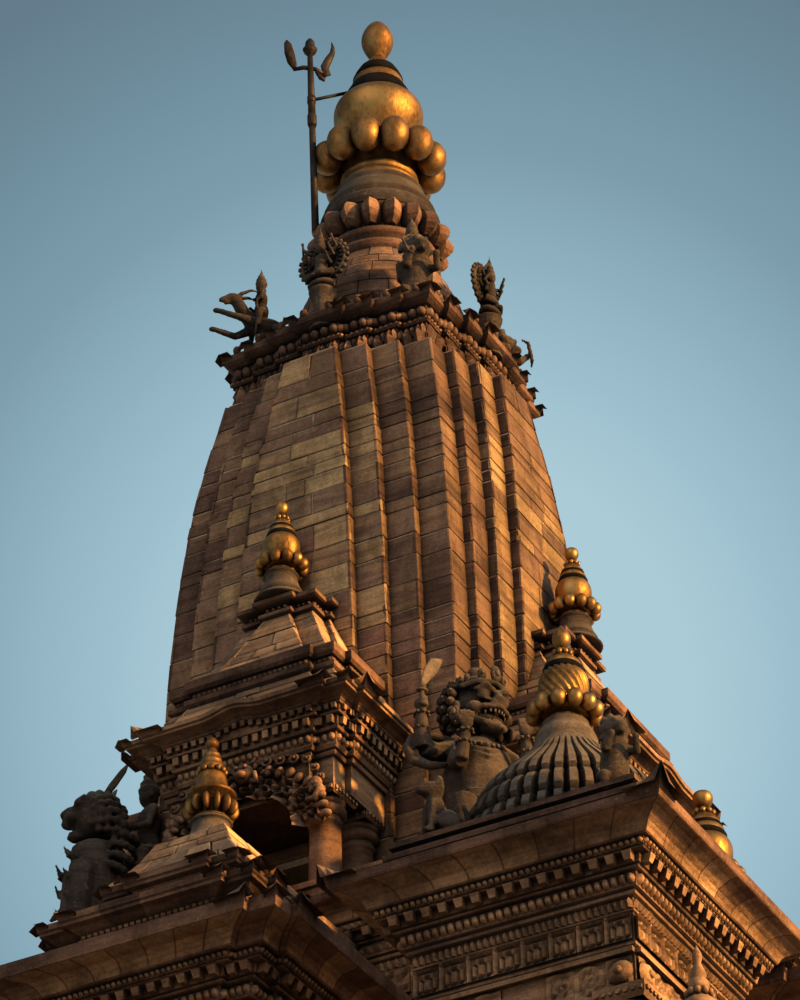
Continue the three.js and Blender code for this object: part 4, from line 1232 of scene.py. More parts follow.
def torana(shape):
    """Carved head over the porch door: a face with leaves, scrolls and two long-bodied beasts."""
    y = -1.88
    shape.stamp(arch_relief(0.37, 0.6, 14.42, y + 0.01))
    parts = Shape()
    ball(parts, (0, y - 0.04, 14.92), (0.075, 0.065, 0.07), None, 12, 9)
    ball(parts, (0, y - 0.1, 14.89), (0.045, 0.035, 0.028), None, 8, 6)
    for parts.side in (-1, 1):
        ball(parts, (0.032, y - 0.095, 14.945), (0.018, 0.018, 0.018), None, 8, 6)
        ball(parts, (0.075, y - 0.04, 14.965), (0.022, 0.015, 0.03), None, 8, 6)
        tube(parts, [(0.05, y - 0.05, 14.97), (0.09, y - 0.05, 15.02), (0.07, y - 0.06, 15.06)],
             [0.018, 0.013, 0.005], 7)
        tube(parts, [(0.06, y - 0.05, 14.86), (0.12, y - 0.08, 14.82), (0.1, y - 0.09, 14.89)],
             [0.024, 0.02, 0.014], 7)
        for k in range(9):
            angle = radians(18 + 8.5 * k)
            r = 0.6 - 0.01 * (k % 2)
            ball(parts, (r * sin(angle), y - 0.05, 14.42 + 0.82 * r * cos(angle)), (0.028, 0.03, 0.04),
                 Matrix.Rotation(parts.side * angle, 3, "Y"), 8, 6)
        for x, z, size in ((0.17, 14.97, 0.045), (0.27, 14.95, 0.042), (0.37, 14.93, 0.04),
                           (0.46, 14.9, 0.036), (0.52, 14.82, 0.034), (0.56, 14.74, 0.03)):
            tube(parts, curl(x, y - 0.035, z, 2.2, 1.3, size, 0.02), [0.014, 0.008], 6)
            ball(parts, (x, y - 0.055, z), (0.013, 0.013, 0.013), None, 6, 5)
        tube(parts, [(0.5, y - 0.03, 14.72), (0.56, y - 0.05, 14.64), (0.53, y - 0.07, 14.57),
                     (0.47, y - 0.08, 14.58)], [0.03, 0.034, 0.026, 0.01], 8)
        ball(parts, (0.53, y - 0.05, 14.7), (0.042, 0.04, 0.042), None, 8, 6)
    shape.stamp(parts, tint=0.35)


def porch():
    """Eaves, stone slopes, bell, arch and columns of one porch."""
    shape = Shape()
    outline = porch_outline
    keep = on_porch

    def moulding(profile, tint, length=0.5, spread=0.18, lift=None):
        sweep(shape, outline, profile, tint, spread, length, lift)

    moulding([(0.595, 14.7), (0.6, 14.7), (0.6, 14.92)], 0.6, 0.35)
    # Ceiling of the porch at a dark tint: painted shade under the porch roof.
    cap(shape, outline(0.6), 14.705, 0.15)
    moulding([(0.6, 14.92), (0.622, 14.925), (0.632, 14.945), (0.622, 14.96), (0.64, 14.965), (0.655, 14.985),
              (0.645, 15.0), (0.648, 15.07), (0.672, 15.078), (0.68, 15.095), (0.668, 15.105)], 0.5)
    row(shape, bead(0.022, 0.03, 0.032, 8, 2), outline(0.645), 15.036, 0.048, 0.55, keep)
    moulding([(0.668, 15.105), (0.672, 15.17), (0.7, 15.175), (0.706, 15.188), (0.695, 15.195), (0.7, 15.245),
              (0.725, 15.25)], 0.35)
    row(shape, slab_part(0.042, 0.04, 0.05, 0.85), outline(0.668), 15.112, 0.074, 0.55, keep)
    row(shape, slab_part(0.034, 0.034, 0.036, 0.85), outline(0.696), 15.2, 0.06, 0.5, keep, eyebrow)
    moulding([(0.712, 15.235), (0.73, 15.262), (0.77, 15.282), (0.815, 15.288), (0.818, 15.302),
              (0.834, 15.308), (0.834, 15.338), (0.815, 15.346), (0.74, 15.375)], 0.42, 0.06, 0.06, eyebrow)
    ears(shape, outline(0.834), 15.33, 0.18, 0.06, 0.6, 0.4, keep)
    courses(shape, lambda z: outline(np.interp(z, [15.345, 15.42, 15.6], [0.79, 0.68, 0.59])), 15.35, 15.58,
            0.075, 0.42, 0.006, 0.005, 0.7, 0.2, lambda m, z: m[1] > -1.1)
    moulding([(0.585, 15.56), (0.6, 15.575), (0.625, 15.6), (0.625, 15.635), (0.6, 15.642), (0.585, 15.65),
              (0.585, 15.695), (0.605, 15.7), (0.622, 15.722), (0.622, 15.78), (0.6, 15.79), (0.5, 15.8)],
             0.12, 0.4, 0.12)
    row(shape, bead(0.015, 0.02, 0.02, 6, 1), outline(0.588), 15.672, 0.038, 0.4, keep)
    heights = [15.79, 15.88, 16.02, 16.18, 16.3, 16.385]
    halves = [0.54, 0.47, 0.395, 0.322, 0.265, 0.228]
    courses(shape, lambda z: outline(np.interp(z, heights, halves)), 15.79, 16.385, 0.095, 0.24, 0.007, 0.005,
            0.8, 0.2, lambda m, z: m[1] > -1.0)
    moulding([(0.225, 16.345), (0.245, 16.352), (0.275, 16.366), (0.275, 16.392), (0.25, 16.4),
              (0.235, 16.408), (0.235, 16.438), (0.255, 16.443), (0.29, 16.45), (0.305, 16.458),
              (0.305, 16.488), (0.29, 16.494), (0.16, 16.5)], 0.2, 0.4)
    row(shape, bead(0.016, 0.024, 0.018, 6, 2), outline(0.24), 16.423, 0.04, 0.45,
        lambda p: p[1] < -1.0)
    cap(shape, outline(0.17), 16.499, 0.5)
    bell = rounded([(0.0, 16.495), (0.172, 16.497), (0.176, 16.515), (0.15, 16.545), (0.154, 16.565),
                    (0.13, 16.61), (0.112, 16.67), (0.108, 16.7), (0.12, 16.715), (0.105, 16.735)], 2)
    lathe(shape, bell, 32, (0, -PORCH_FINIAL_OUT), 0.35, slot=1)
    torana(shape)
    for side in (-1, 1):
        column(shape, (side * 0.475, -1.72), TERRACE_C, PORCH_LINTEL, 0.108, 0.6, slot=2)
        column(shape, (side * 0.49, -1.33), TERRACE_C, PORCH_LINTEL, 0.112, 0.5, slot=2)
    return shape


# Statues. Each looks out along -Y and stands on z = 0.

def rider(shape, y, z, tall, s):
    """Crowned rider of size s: torso, arms, legs, head and a tall crown."""
    ball(shape, (0, y, z + 0.12 * s), (0.085 * s, 0.07 * s, 0.1 * s))
    ball(shape, (0, y, z + 0.26 * s), (0.08 * s, 0.06 * s, 0.11 * s))
    ball(shape, (0, y - 0.005, z + 0.42 * s), (0.048 * s, 0.05 * s, 0.058 * s))
    for shape.side in (-1, 1):
        ball(shape, (0.085 * s, y, z + 0.31 * s), (0.03 * s, 0.03 * s, 0.03 * s))
        tube(shape, [(0.088 * s, y, z + 0.31 * s), (0.12 * s, y - 0.03 * s, z + 0.2 * s),
                     (0.06 * s, y - 0.1 * s, z + 0.2 * s)], [0.026 * s, 0.022 * s, 0.018 * s], 8)
        tube(shape, [(0.05 * s, y, z + 0.08 * s), (0.13 * s, y - 0.05 * s, z + 0.04 * s),
                     (0.13 * s, y - 0.06 * s, z - 0.14 * s)], [0.045 * s, 0.036 * s, 0.026 * s], 8)
        ball(shape, (0.05 * s, y, z + 0.42 * s), (0.012 * s, 0.014 * s, 0.022 * s))
    crown = [(0.0, 0.43), (0.055, 0.44), (0.06, 0.462), (0.048, 0.475), (0.052, 0.5), (0.034, 0.52),
             (0.036, 0.545), (0.016, 0.56), (0.018, 0.575)]
    lathe(shape, [(r * s, z + h * s) for r, h in crown] + [(0.0, z + tall)], 12, (0, y))


def leaping_beast():
    """Ridden beast that leaps out over a corner of the cornice."""
    shape = Shape()
    tube(shape, [(0, 0.1, 0), (0, 0.08, 0.18), (0, 0.02, 0.34)], [0.055, 0.06, 0.07], 10)
    ball(shape, (0, 0.02, 0.4), (0.085, 0.16, 0.085))
    tube(shape, [(0, -0.08, 0.42), (0, -0.17, 0.52), (0, -0.22, 0.62)], [0.072, 0.055, 0.05], 10)
    ball(shape, (0, -0.25, 0.645), (0.05, 0.075, 0.05))
    tube(shape, [(0, -0.27, 0.65), (0, -0.34, 0.62), (0, -0.365, 0.605)], [0.04, 0.026, 0.018], 8)
    tube(shape, [(0, -0.28, 0.61), (0, -0.325, 0.585)], [0.022, 0.014], 8)
    for shape.side in (-1, 1):
        tube(shape, [(0.03, -0.2, 0.68), (0.05, -0.12, 0.72), (0.06, -0.02, 0.715)],
             [0.018, 0.013, 0.003], 6)
        tube(shape, [(0.05, -0.08, 0.4), (0.065, -0.22, 0.37 + 0.05 * shape.side),
                     (0.06, -0.38, 0.4 + 0.05 * shape.side)], [0.045, 0.03, 0.022], 8)
        ball(shape, (0.06, -0.4, 0.4 + 0.05 * shape.side), (0.024, 0.035, 0.022))
        tube(shape, [(0.06, 0.1, 0.36), (0.08, 0.02, 0.2), (0.07, 0.1, 0.0)],
             [0.055, 0.035, 0.025], 8)
    tube(shape, [(0, 0.16, 0.42), (0.02, 0.26, 0.44), (0.0, 0.33, 0.54)], [0.028, 0.02, 0.008], 8)
    rider(shape, -0.02, 0.45, 0.56, 0.86)
    tube(shape, [(0.1, -0.08, 0.62), (0.13, -0.1, 0.16)], [0.011, 0.008], 6)
    return shape


def rearing_lion(ridden):
    """Lion on its hind legs, with or without a rider."""
    shape = Shape()
    tube(shape, [(0, 0.08, 0.0), (0, 0.06, 0.2), (0, 0.0, 0.42), (0, -0.02, 0.55)], [0.11, 0.12, 0.115, 0.08],
         12)
    ball(shape, (0, -0.05, 0.62), (0.1, 0.1, 0.1))
    ball(shape, (0, -0.145, 0.595), (0.055, 0.055, 0.04))
    ball(shape, (0, -0.135, 0.545), (0.042, 0.045, 0.018))
    for shape.side in (-1, 1):
        ball(shape, (0.042, -0.13, 0.655), (0.022, 0.022, 0.022))
        ball(shape, (0.085, -0.02, 0.7), (0.025, 0.02, 0.035))
        for k in range(5):
            a = radians(20 + 35 * k)
            ball(shape, (0.1 * sin(a), -0.02 + 0.02 * (k % 2), 0.62 + 0.12 * cos(a)),
                 (0.035, 0.035, 0.035), None, 8, 6)
        tube(shape, [(0.09, -0.04, 0.44), (0.13, -0.14, 0.38), (0.1, -0.2, 0.46)],
             [0.045, 0.034, 0.026], 8)
        ball(shape, (0.1, -0.21, 0.47), (0.032, 0.03, 0.026))
        tube(shape, [(0.09, 0.05, 0.22), (0.13, -0.08, 0.16), (0.11, -0.05, 0.0)],
             [0.065, 0.045, 0.035], 8)
        ball(shape, (0.11, -0.09, 0.02), (0.04, 0.06, 0.025))
    if ridden:
        rider(shape, 0.1, 0.46, 0.6, 0.95)
        tube(shape, [(-0.08, -0.17, 0.66), (-0.17, -0.2, 0.56), (-0.14, -0.24, 0.42), (-0.05, -0.26, 0.36)],
             [0.008, 0.018, 0.02, 0.006], 8, flat=0.5)
    return shape


def halo_figure():
    """Calm seated figure with six arms and a tall crown, in front of its halo, on a pedestal."""
    shape = Shape()
    tube(shape, [(0, 0.02, -0.56), (0, 0.02, -0.4), (0, 0.0, -0.2), (0, 0.0, -0.02)], [0.17, 0.12, 0.1, 0.16],
         12)
    ball(shape, (0, -0.02, 0.06), (0.17, 0.12, 0.06))
    ball(shape, (0, -0.03, 0.2), (0.12, 0.09, 0.08))
    for shape.side in (-1, 1):
        tube(shape, [(0.05, -0.02, 0.2), (0.16, -0.07, 0.17), (0.04, -0.13, 0.15)],
             [0.05, 0.045, 0.032], 8)
        for k in range(3):
            rise = 0.4 + 0.06 * k
            reach = 0.11 + 0.035 * k
            tube(shape, [(0.07, -0.02, 0.44), (reach + 0.03, -0.05, rise - 0.09 + 0.05 * k),
                         (reach, -0.11, rise + 0.05 * k)], [0.026, 0.021, 0.017], 7)
            ball(shape, (reach, -0.12, rise + 0.05 * k + 0.02), (0.022, 0.018, 0.024), None, 8, 6)
        ball(shape, (0.052, -0.04, 0.545), (0.013, 0.016, 0.03), None, 8, 6)
    ball(shape, (0, -0.03, 0.33), (0.078, 0.065, 0.12))
    ball(shape, (0, -0.03, 0.43), (0.092, 0.058, 0.05))
    ball(shape, (0, -0.045, 0.55), (0.053, 0.054, 0.064))
    lathe(shape, [(0.0, 0.55), (0.06, 0.572), (0.064, 0.598), (0.05, 0.612), (0.056, 0.64), (0.038, 0.68),
                  (0.042, 0.705), (0.024, 0.745), (0.026, 0.77), (0.01, 0.82), (0.0, 0.9)], 14, (0, -0.035))
    return shape


def halo():
    """Round scalloped halo behind a seated figure, with ribs between its rings."""
    shape = Shape()
    centre = Vector((0, 0.035, 0.43))
    for radius, thick in ((0.265, 0.028), (0.175, 0.02)):
        path = [centre + Vector((radius * cos(2 * pi * k / 24), 0, radius * sin(2 * pi * k / 24)))
                for k in range(25)]
        tube(shape, path, [thick, thick], 6)
    for a in angles(24):
        way = Vector((cos(a), 0, sin(a)))
        turn = Matrix.Rotation(-a, 3, "Y")
        ball(shape, centre + way * 0.22, (0.048, 0.03, 0.025), turn, 6, 5)
        ball(shape, centre + way * 0.296, (0.032, 0.025, 0.03), turn, 6, 5)
    ball(shape, centre + Vector((0, 0.01, 0)), (0.19, 0.012, 0.19), None, 16, 6)
    return shape


def guard_head():
    """Fierce head about its own middle: bulging eyes, broad nose, open mouth, headdress."""
    head = Shape()
    ball(head, (0, 0.02, 0.03), (0.17, 0.175, 0.19), None, 18, 12)
    ball(head, (0, -0.14, -0.17), (0.08, 0.07, 0.045))
    ball(head, (0, -0.205, 0.005), (0.045, 0.06, 0.038))
    tube(head, [(0, -0.18, 0.09), (0, -0.215, 0.03)], [0.022, 0.034], 8)
    upper = [(-0.14, -0.1, -0.06), (-0.09, -0.185, -0.048), (0, -0.225, -0.04), (0.09, -0.185, -0.048),
             (0.14, -0.1, -0.06)]
    lower = [(-0.13, -0.09, -0.1), (-0.08, -0.165, -0.155), (0, -0.2, -0.172), (0.08, -0.165, -0.155),
             (0.13, -0.09, -0.1)]
    tube(head, upper, [0.022] * 5, 8)
    tube(head, lower, [0.02, 0.026, 0.03, 0.026, 0.02], 8)
    for head.side in (-1, 1):
        ball(head, (0.038, -0.215, -0.012), (0.026, 0.026, 0.02), None, 8, 6)
        ball(head, (0.12, -0.115, -0.045), (0.06, 0.06, 0.05))
        ball(head, (0.08, -0.165, 0.05), (0.042, 0.036, 0.036))
        tube(head, [(0.02, -0.19, 0.085), (0.075, -0.195, 0.11), (0.14, -0.14, 0.08)],
             [0.02, 0.026, 0.014], 8)
        tube(head, [(0.03, -0.185, 0.02), (0.08, -0.19, 0.008), (0.125, -0.15, 0.03)],
             [0.01, 0.012, 0.008], 6)
        ball(head, (0.185, -0.01, -0.02), (0.028, 0.045, 0.06))
    tube(head, [(-0.18, -0.05, 0.125), (-0.1, -0.155, 0.15), (0, -0.185, 0.155), (0.1, -0.155, 0.15),
                (0.18, -0.05, 0.125)], [0.024] * 5, 8)
    ball(head, (0, 0.02, 0.2), (0.125, 0.13, 0.085))
    ball(head, (0.01, 0.02, 0.315), (0.06, 0.06, 0.062))
    return head


def guard_curls():
    """Painted shade inside the mouth, then teeth, tongue, plaques and curled hair of the fierce head, kept
    crisp.
    """
    part = Shape()
    # Inside of the open mouth at the darkest tint: painted shade.
    ball(part, (0, -0.12, -0.105), (0.115, 0.065, 0.05), None, 12, 8, 0.0)
    ball(part, (0, -0.165, -0.135), (0.05, 0.04, 0.018), None, 8, 6, 0.6)
    for k in range(9):
        u = -1 + k / 4
        x, y = 0.105 * u, -0.212 + 0.07 * u * u
        fang = 0.016 if k in (1, 7) else 0.0
        tube(part, [(x, y, -0.058), (x, y - 0.002, -0.086 - fang)], [0.012, 0.007 - fang / 4], 5, 0.95)
        tube(part, [(x * 0.9, y + 0.018, -0.15), (x * 0.9, y + 0.014, -0.126)], [0.011, 0.006], 5, 0.95)
    for x, y, z, size in ((0, -0.195, 0.215, 0.052), (-0.085, -0.16, 0.205, 0.036),
                          (0.085, -0.16, 0.205, 0.036), (-0.145, -0.085, 0.185, 0.03),
                          (0.145, -0.085, 0.185, 0.03)):
        ball(part, (x, y, z), (size * 0.85, 0.022, size * 1.25), Matrix.Rotation(atan2(x, -y), 3, "Z"), 8, 6,
             0.5)
        ball(part, (x * 1.08, y * 1.1, z), (size * 0.35, 0.016, size * 0.45), None, 6, 5, 0.8)
    for ring, (y, radius) in enumerate(((0.0, 0.215), (0.06, 0.225), (0.12, 0.205), (0.16, 0.16))):
        for k in range(15):
            a = radians(-32 + 17.5 * (k + 0.5 * (ring % 2)))
            x, z = radius * cos(a), 0.02 + radius * sin(a) * 1.05
            ball(part, (x, y, z), (0.034, 0.032, 0.034), None, 8, 6, 0.4)
            ball(part, (x * 1.13, y - 0.015, 0.02 + (z - 0.02) * 1.13), (0.014, 0.014, 0.014), None, 6, 4,
                 0.7)
    for part.side in (-1, 1):
        ball(part, (0.225, -0.045, -0.085), (0.02, 0.05, 0.052), None, 10, 6, 0.5)
        ball(part, (0.243, -0.055, -0.085), (0.014, 0.024, 0.026), None, 8, 5, 0.8)
    return part


def open_hand(shape, x, y, z, side):
    """Raised hand with four fingers and a thumb."""
    ball(shape, (x, y, z), (0.046, 0.026, 0.048), None, 10, 7)
    for k in range(4):
        lean = 0.024 * (k - 1.5)
        tall = 0.085 + 0.008 * (1 if k in (1, 2) else 0)
        tube(shape, [(x + lean, y, z + 0.03), (x + lean * 1.15, y - 0.012, z + tall * 0.7),
                     (x + lean * 1.2, y, z + tall)], [0.0135, 0.0125, 0.01], 6)
    tube(shape, [(x + side * 0.035, y, z - 0.01), (x + side * 0.062, y - 0.012, z + 0.035)], [0.015, 0.011],
         6)


def sword_guard():
    """Round-bellied guard with a fierce head, a raised blade and two raised hands."""
    shape = Shape()

    def folds(angle, share):
        return 1 + 0.07 * abs(cos(8 * angle)) * (1 - share)

    lathe(shape, rounded([(0.0, 0.4), (0.215, 0.42), (0.205, 0.55), (0.19, 0.64), (0.225, 0.76),
                          (0.215, 0.88), (0.18, 1.0), (0.11, 1.09), (0.0, 1.1)], 2), 48, ripple=folds)
    for k in range(3):
        z = 0.64 - 0.025 * k
        tube(shape, [(-0.2, -0.02, z), (-0.12, -0.19, z - 0.01), (0, -0.235, z - 0.02),
                     (0.12, -0.19, z - 0.01), (0.2, -0.02, z)], [0.016] * 5, 6)
    shape.stamp(guard_head(), (0, -0.02, HEAD_HEIGHT), HEAD_TURN)
    for k in range(3):
        tube(shape, [(-0.15, -0.07, 1.05 - 0.035 * k), (-0.08, -0.17 - 0.01 * k, 0.99 - 0.045 * k),
                     (0, -0.205 - 0.012 * k, 0.965 - 0.05 * k), (0.08, -0.17 - 0.01 * k, 0.99 - 0.045 * k),
                     (0.15, -0.07, 1.05 - 0.035 * k)], [0.017] * 5, 6)
    tube(shape, [(-0.15, 0.0, 1.02), (-0.29, -0.04, 0.955), (-0.375, -0.08, 0.965)], [0.075, 0.066, 0.06], 12)
    tube(shape, [(-0.375, -0.08, 0.965), (-0.4, -0.11, 1.08), (-0.405, -0.13, 1.2)], [0.06, 0.048, 0.036], 12)
    ball(shape, (-0.405, -0.135, 1.245), (0.048, 0.048, 0.044))
    for k in range(4):
        ball(shape, (-0.402, -0.178, 1.218 + 0.018 * k), (0.034, 0.018, 0.01), None, 8, 6)
    tube(shape, [(0.15, 0.0, 1.02), (0.27, -0.07, 0.9), (0.265, -0.17, 0.84)], [0.075, 0.066, 0.055], 12)
    tube(shape, [(0.265, -0.17, 0.84), (0.25, -0.24, 0.95), (0.235, -0.265, 1.01)], [0.054, 0.042, 0.034], 12)
    open_hand(shape, 0.232, -0.28, 1.06, 1)
    tube(shape, [(-0.14, -0.05, 0.99), (-0.2, -0.19, 0.82), (-0.19, -0.25, 0.8)], [0.066, 0.06, 0.05], 12)
    tube(shape, [(-0.19, -0.25, 0.8), (-0.175, -0.28, 0.93), (-0.165, -0.29, 1.0)], [0.048, 0.04, 0.033], 12)
    open_hand(shape, -0.16, -0.3, 1.05, -1)
    scarf = [(-0.16, -0.02, 1.08), (-0.3, 0.0, 1.1), (-0.43, -0.02, 1.06), (-0.475, -0.04, 0.96),
             (-0.44, -0.06, 0.87), (-0.34, -0.08, 0.83), (-0.24, -0.1, 0.84)]
    tube(shape, scarf, [0.02, 0.03, 0.036, 0.036, 0.036, 0.032, 0.02], 10)
    for shape.side in (-1, 1):
        tube(shape, [(0.1, 0, 0.52), (0.18, -0.24, 0.48), (0.15, -0.27, 0.1),
                     (0.16, -0.27, 0.02)], [0.12, 0.1, 0.065, 0.06], 12)
        ball(shape, (0.16, -0.3, 0.04), (0.055, 0.08, 0.04))
    return shape


def guard_trim(shape):
    """Crisp parts of the guard: hair, blade, bracelets, collar beads and scarf knots."""
    shape.stamp(guard_curls(), (0, -0.02, HEAD_HEIGHT), HEAD_TURN)
    tube(shape, [(-0.412, -0.15, 1.19), (-0.405, -0.145, 1.3), (-0.398, -0.14, 1.36)], [0.017, 0.016, 0.018],
         8, 0.5)
    ball(shape, (-0.4, -0.142, 1.345), (0.042, 0.03, 0.014), None, 8, 5, 0.5)
    tube(shape, [(-0.398, -0.14, 1.36), (-0.385, -0.13, 1.42), (-0.35, -0.11, 1.5), (-0.3, -0.08, 1.58),
                 (-0.235, -0.05, 1.655)], [0.018, 0.03, 0.048, 0.058, 0.012], 10, 0.95, 0.3)
    for x, y, z in ((-0.403, -0.125, 1.175), (-0.398, -0.108, 1.075), (-0.3, -0.045, 0.957),
                    (0.238, -0.262, 1.0), (0.255, -0.225, 0.93), (-0.167, -0.289, 0.985),
                    (-0.178, -0.272, 0.91)):
        for a in angles(8):
            ball(shape, (x + 0.048 * cos(a), y + 0.048 * sin(a), z), (0.013, 0.013, 0.012), None, 6, 4, 0.6)
    for k in range(13):
        a = radians(-84 + 14 * k)
        ball(shape, (0.165 * sin(a), -0.03 - 0.175 * cos(a), 1.045 - 0.075 * cos(a)),
             (0.016, 0.016, 0.018), None, 6, 4, 0.7)


def maned_beast():
    """Seated lion with a curled mane, chest plumes and a rider behind its neck."""
    shape = Shape()
    ball(shape, (0, 0.06, 0.6), (0.19, 0.27, 0.22), None, 16, 10)
    tube(shape, [(0, 0.0, 0.62), (0, -0.04, 0.9), (0, -0.06, 1.15)], [0.19, 0.17, 0.15], 14)
    ball(shape, (0, -0.05, 1.36), (0.165, 0.165, 0.18), None, 16, 10)
    tube(shape, [(0, -0.15, 1.385), (0, -0.23, 1.36), (0, -0.265, 1.345)], [0.085, 0.072, 0.055], 12)
    tube(shape, [(0, -0.13, 1.24), (0, -0.2, 1.215), (0, -0.235, 1.225)], [0.055, 0.042, 0.028], 10)
    ball(shape, (0, -0.27, 1.375), (0.034, 0.025, 0.022))
    for shape.side in (-1, 1):
        ball(shape, (0.07, -0.185, 1.44), (0.036, 0.034, 0.032))
        tube(shape, [(0.03, -0.18, 1.48), (0.11, -0.15, 1.475)], [0.025, 0.02], 8)
        ball(shape, (0.052, -0.225, 1.335), (0.035, 0.05, 0.035))
        tube(shape, [(0.1, -0.14, 0.95), (0.11, -0.17, 0.6), (0.1, -0.16, 0.1),
                     (0.1, -0.18, 0.02)], [0.1, 0.085, 0.062, 0.062], 12)
        ball(shape, (0.1, -0.22, 0.05), (0.065, 0.1, 0.05))
        ball(shape, (0.17, 0.14, 0.52), (0.09, 0.19, 0.17))
        ball(shape, (0.17, -0.02, 0.42), (0.06, 0.12, 0.05))
        for k in range(3):
            z = 0.98 - 0.16 * k
            tube(shape, [(0.1, -0.17, z), (0.14, -0.25, z + 0.02), (0.12, -0.29, z + 0.09)],
                 [0.035, 0.026, 0.008], 8, flat=0.5)
    for ring, (radius, y, z) in enumerate(((0.165, -0.1, 1.37), (0.19, -0.05, 1.36), (0.205, 0.0, 1.34),
                                           (0.212, 0.05, 1.3), (0.21, 0.1, 1.24), (0.2, 0.13, 1.17),
                                           (0.195, 0.12, 1.09), (0.19, 0.1, 1.01), (0.185, 0.07, 0.93))):
        count = 20
        for k in range(count):
            a = 2 * pi * (k + 0.5 * (ring % 2)) / count
            if ring < 4 and sin(a) < -0.75:
                continue
            across = 0.0 if ring < 5 else -0.12 * sin(a)
            ball(shape, (radius * cos(a), y + across, z + (radius if ring < 5 else 0.05) * sin(a)),
                 (0.03, 0.033, 0.028), None, 7, 5)
    rider(shape, 0.31, 1.03, 0.52, 1.35)
    tube(shape, [(0, 0.28, 0.5), (0, 0.3, 0.8), (0, 0.3, 1.1)], [0.1, 0.1, 0.1], 12)
    return shape


def beast_ears(shape):
    """Two tall ears of the maned beast."""
    for shape.side in (-1, 1):
        tube(shape, [(0.09, -0.03, 1.48), (0.125, 0.03, 1.58), (0.155, 0.09, 1.68),
                     (0.17, 0.12, 1.735)], [0.026, 0.036, 0.03, 0.008], 8, 0.45, 0.4)


def statue_base(shape):
    """Low stepped base under a statue."""
    sweep(shape, square, [(0.24, 0.0), (0.24, 0.07), (0.215, 0.1), (0.205, 0.12), (0.205, 0.29), (0.22, 0.31),
                          (0.24, 0.34), (0.24, 0.41), (0.02, 0.415)], 0.4, 0.2, 0.3)


# Terraces, ground arcade and stepped base.

def terrace_slab(wall, edge, foot, lip, top):
    """Terrace cornice over a storey, with its floor on top."""
    shape = Shape()
    sweep(shape, square, [(wall, foot), (wall, lip - 0.66)], 0.4, 0.2)
    rich_cornice(shape, square, (wall, 0), (edge, lip), fine=False)
    sweep(shape, square, [(edge - 0.03, lip + 0.03), (edge - 0.05, lip + 0.04), (edge - 0.05, top - 0.05),
                          (edge - 0.03, top - 0.04), (edge - 0.03, top), (0.02, top + 0.002)], 0.4, 0.2, 0.5)
    return shape


def ground_cornice():
    """Deep cornice and parapet over the ground arcade."""
    shape = Shape()
    sweep(shape, square, [(4.79, 5.18), (4.79, 5.32), (4.86, 5.35), (4.9, 5.42), (4.9, 5.56), (4.97, 5.6),
                          (5.01, 5.66), (5.01, 5.79), (5.08, 5.82), (5.14, 5.86), (5.2, 5.95), (5.235, 5.98),
                          (5.235, 6.08), (5.18, 6.12), (5.02, 6.22), (4.98, 6.26), (4.98, 6.3), (4.955, 6.32),
                          (4.955, 6.74), (4.985, 6.76), (4.985, 6.85), (4.94, 6.9), (0.02, 6.903)], 0.4, 0.2,
                          0.7)
    row(shape, slab_part(0.1, 0.09, 0.12, 0.82), square(4.9), 5.43, 0.2, 0.5)
    row(shape, bead(0.045, 0.05, 0.055, 6, 1), square(5.01), 5.725, 0.1, 0.55)
    row(shape, leaf(0.11, 0.15, 0.05), square(4.79), 5.2, 0.115, 0.5)
    row(shape, niche_panel(0.36, 0.36, 8), square(4.957), 6.34, 0.42, 0.55)
    return shape


def arch_ring(shape, half, rise, width, depth, tint):
    """Wedge stones round an arched head, standing proud of the wall."""
    curve = []
    for k in range(11):
        t = k / 10
        x = (1 - t) ** 2 * half + 2 * t * (1 - t) * half * 0.95
        z = ARCH_SPRING + 2 * t * (1 - t) * rise * 0.8 + t * t * rise
        curve.append((x, z))
    curve = [(half, ARCH_SPRING - 0.2)] + curve
    for side in (-1, 1):
        for (x0, z0), (x1, z1) in zip(curve, curve[1:]):
            n = np.array([z1 - z0, x0 - x1])
            n = n / np.linalg.norm(n) * width
            flat = [(x0, z0), (x0 + n[0], z0 + n[1]), (x1 + n[0], z1 + n[1]), (x1, z1)]
            points = [(side * x, y, z) for y in (-ARCADE_FACE - depth, -ARCADE_FACE) for x, z in flat]
            shape.add(points, [(0, 1, 2, 3), (0, 4, 5, 1), (1, 5, 6, 2), (2, 6, 7, 3), (3, 7, 4, 0)],
                      tint + RNG.uniform(-0.2, 0.2))


def arcade_trim():
    """Columns, arch stones, roundels and a string course on one side of the arcade."""
    shape = Shape()
    for i in range(6):
        x = (i - 2.5) * BAY
        column(shape, (x, -4.8), PLINTH_TOP, 3.92, 0.15, 0.5, False)
        shape.stamp(bead(0.14, 0.05, 0.14, 14, 2), (x, -ARCADE_FACE, 4.52), 0, 1, 0.6)
        shape.stamp(bead(0.06, 0.08, 0.06, 12, 2), (x, -ARCADE_FACE, 4.52), 0, 1, 0.5)
        shape.stamp(scroll_panel(0.46, 0.3, 14, 9), (x, -PANEL_FACE, 3.98), 0, 1, 0.5)
    for i in range(-2, 3):
        trim = Shape()
        arch_ring(trim, 0.59, 0.65, 0.15, 0.045, 0.55)
        arch_ring(trim, 0.74, 0.7, 0.035, 0.07, 0.4)
        shape.stamp(trim, (i * BAY, 0, 0))
    shape.stamp(slab_part(9.5, 0.04, 0.06), (0, -ARCADE_FACE, 4.8), 0, 1, 0.4)
    for k in range(44):
        shape.stamp(niche_panel(0.17, 0.17, 5), ((k - 21.5) * 0.214, -PANEL_FACE, 4.92), 0, 1, 0.55)
    return shape


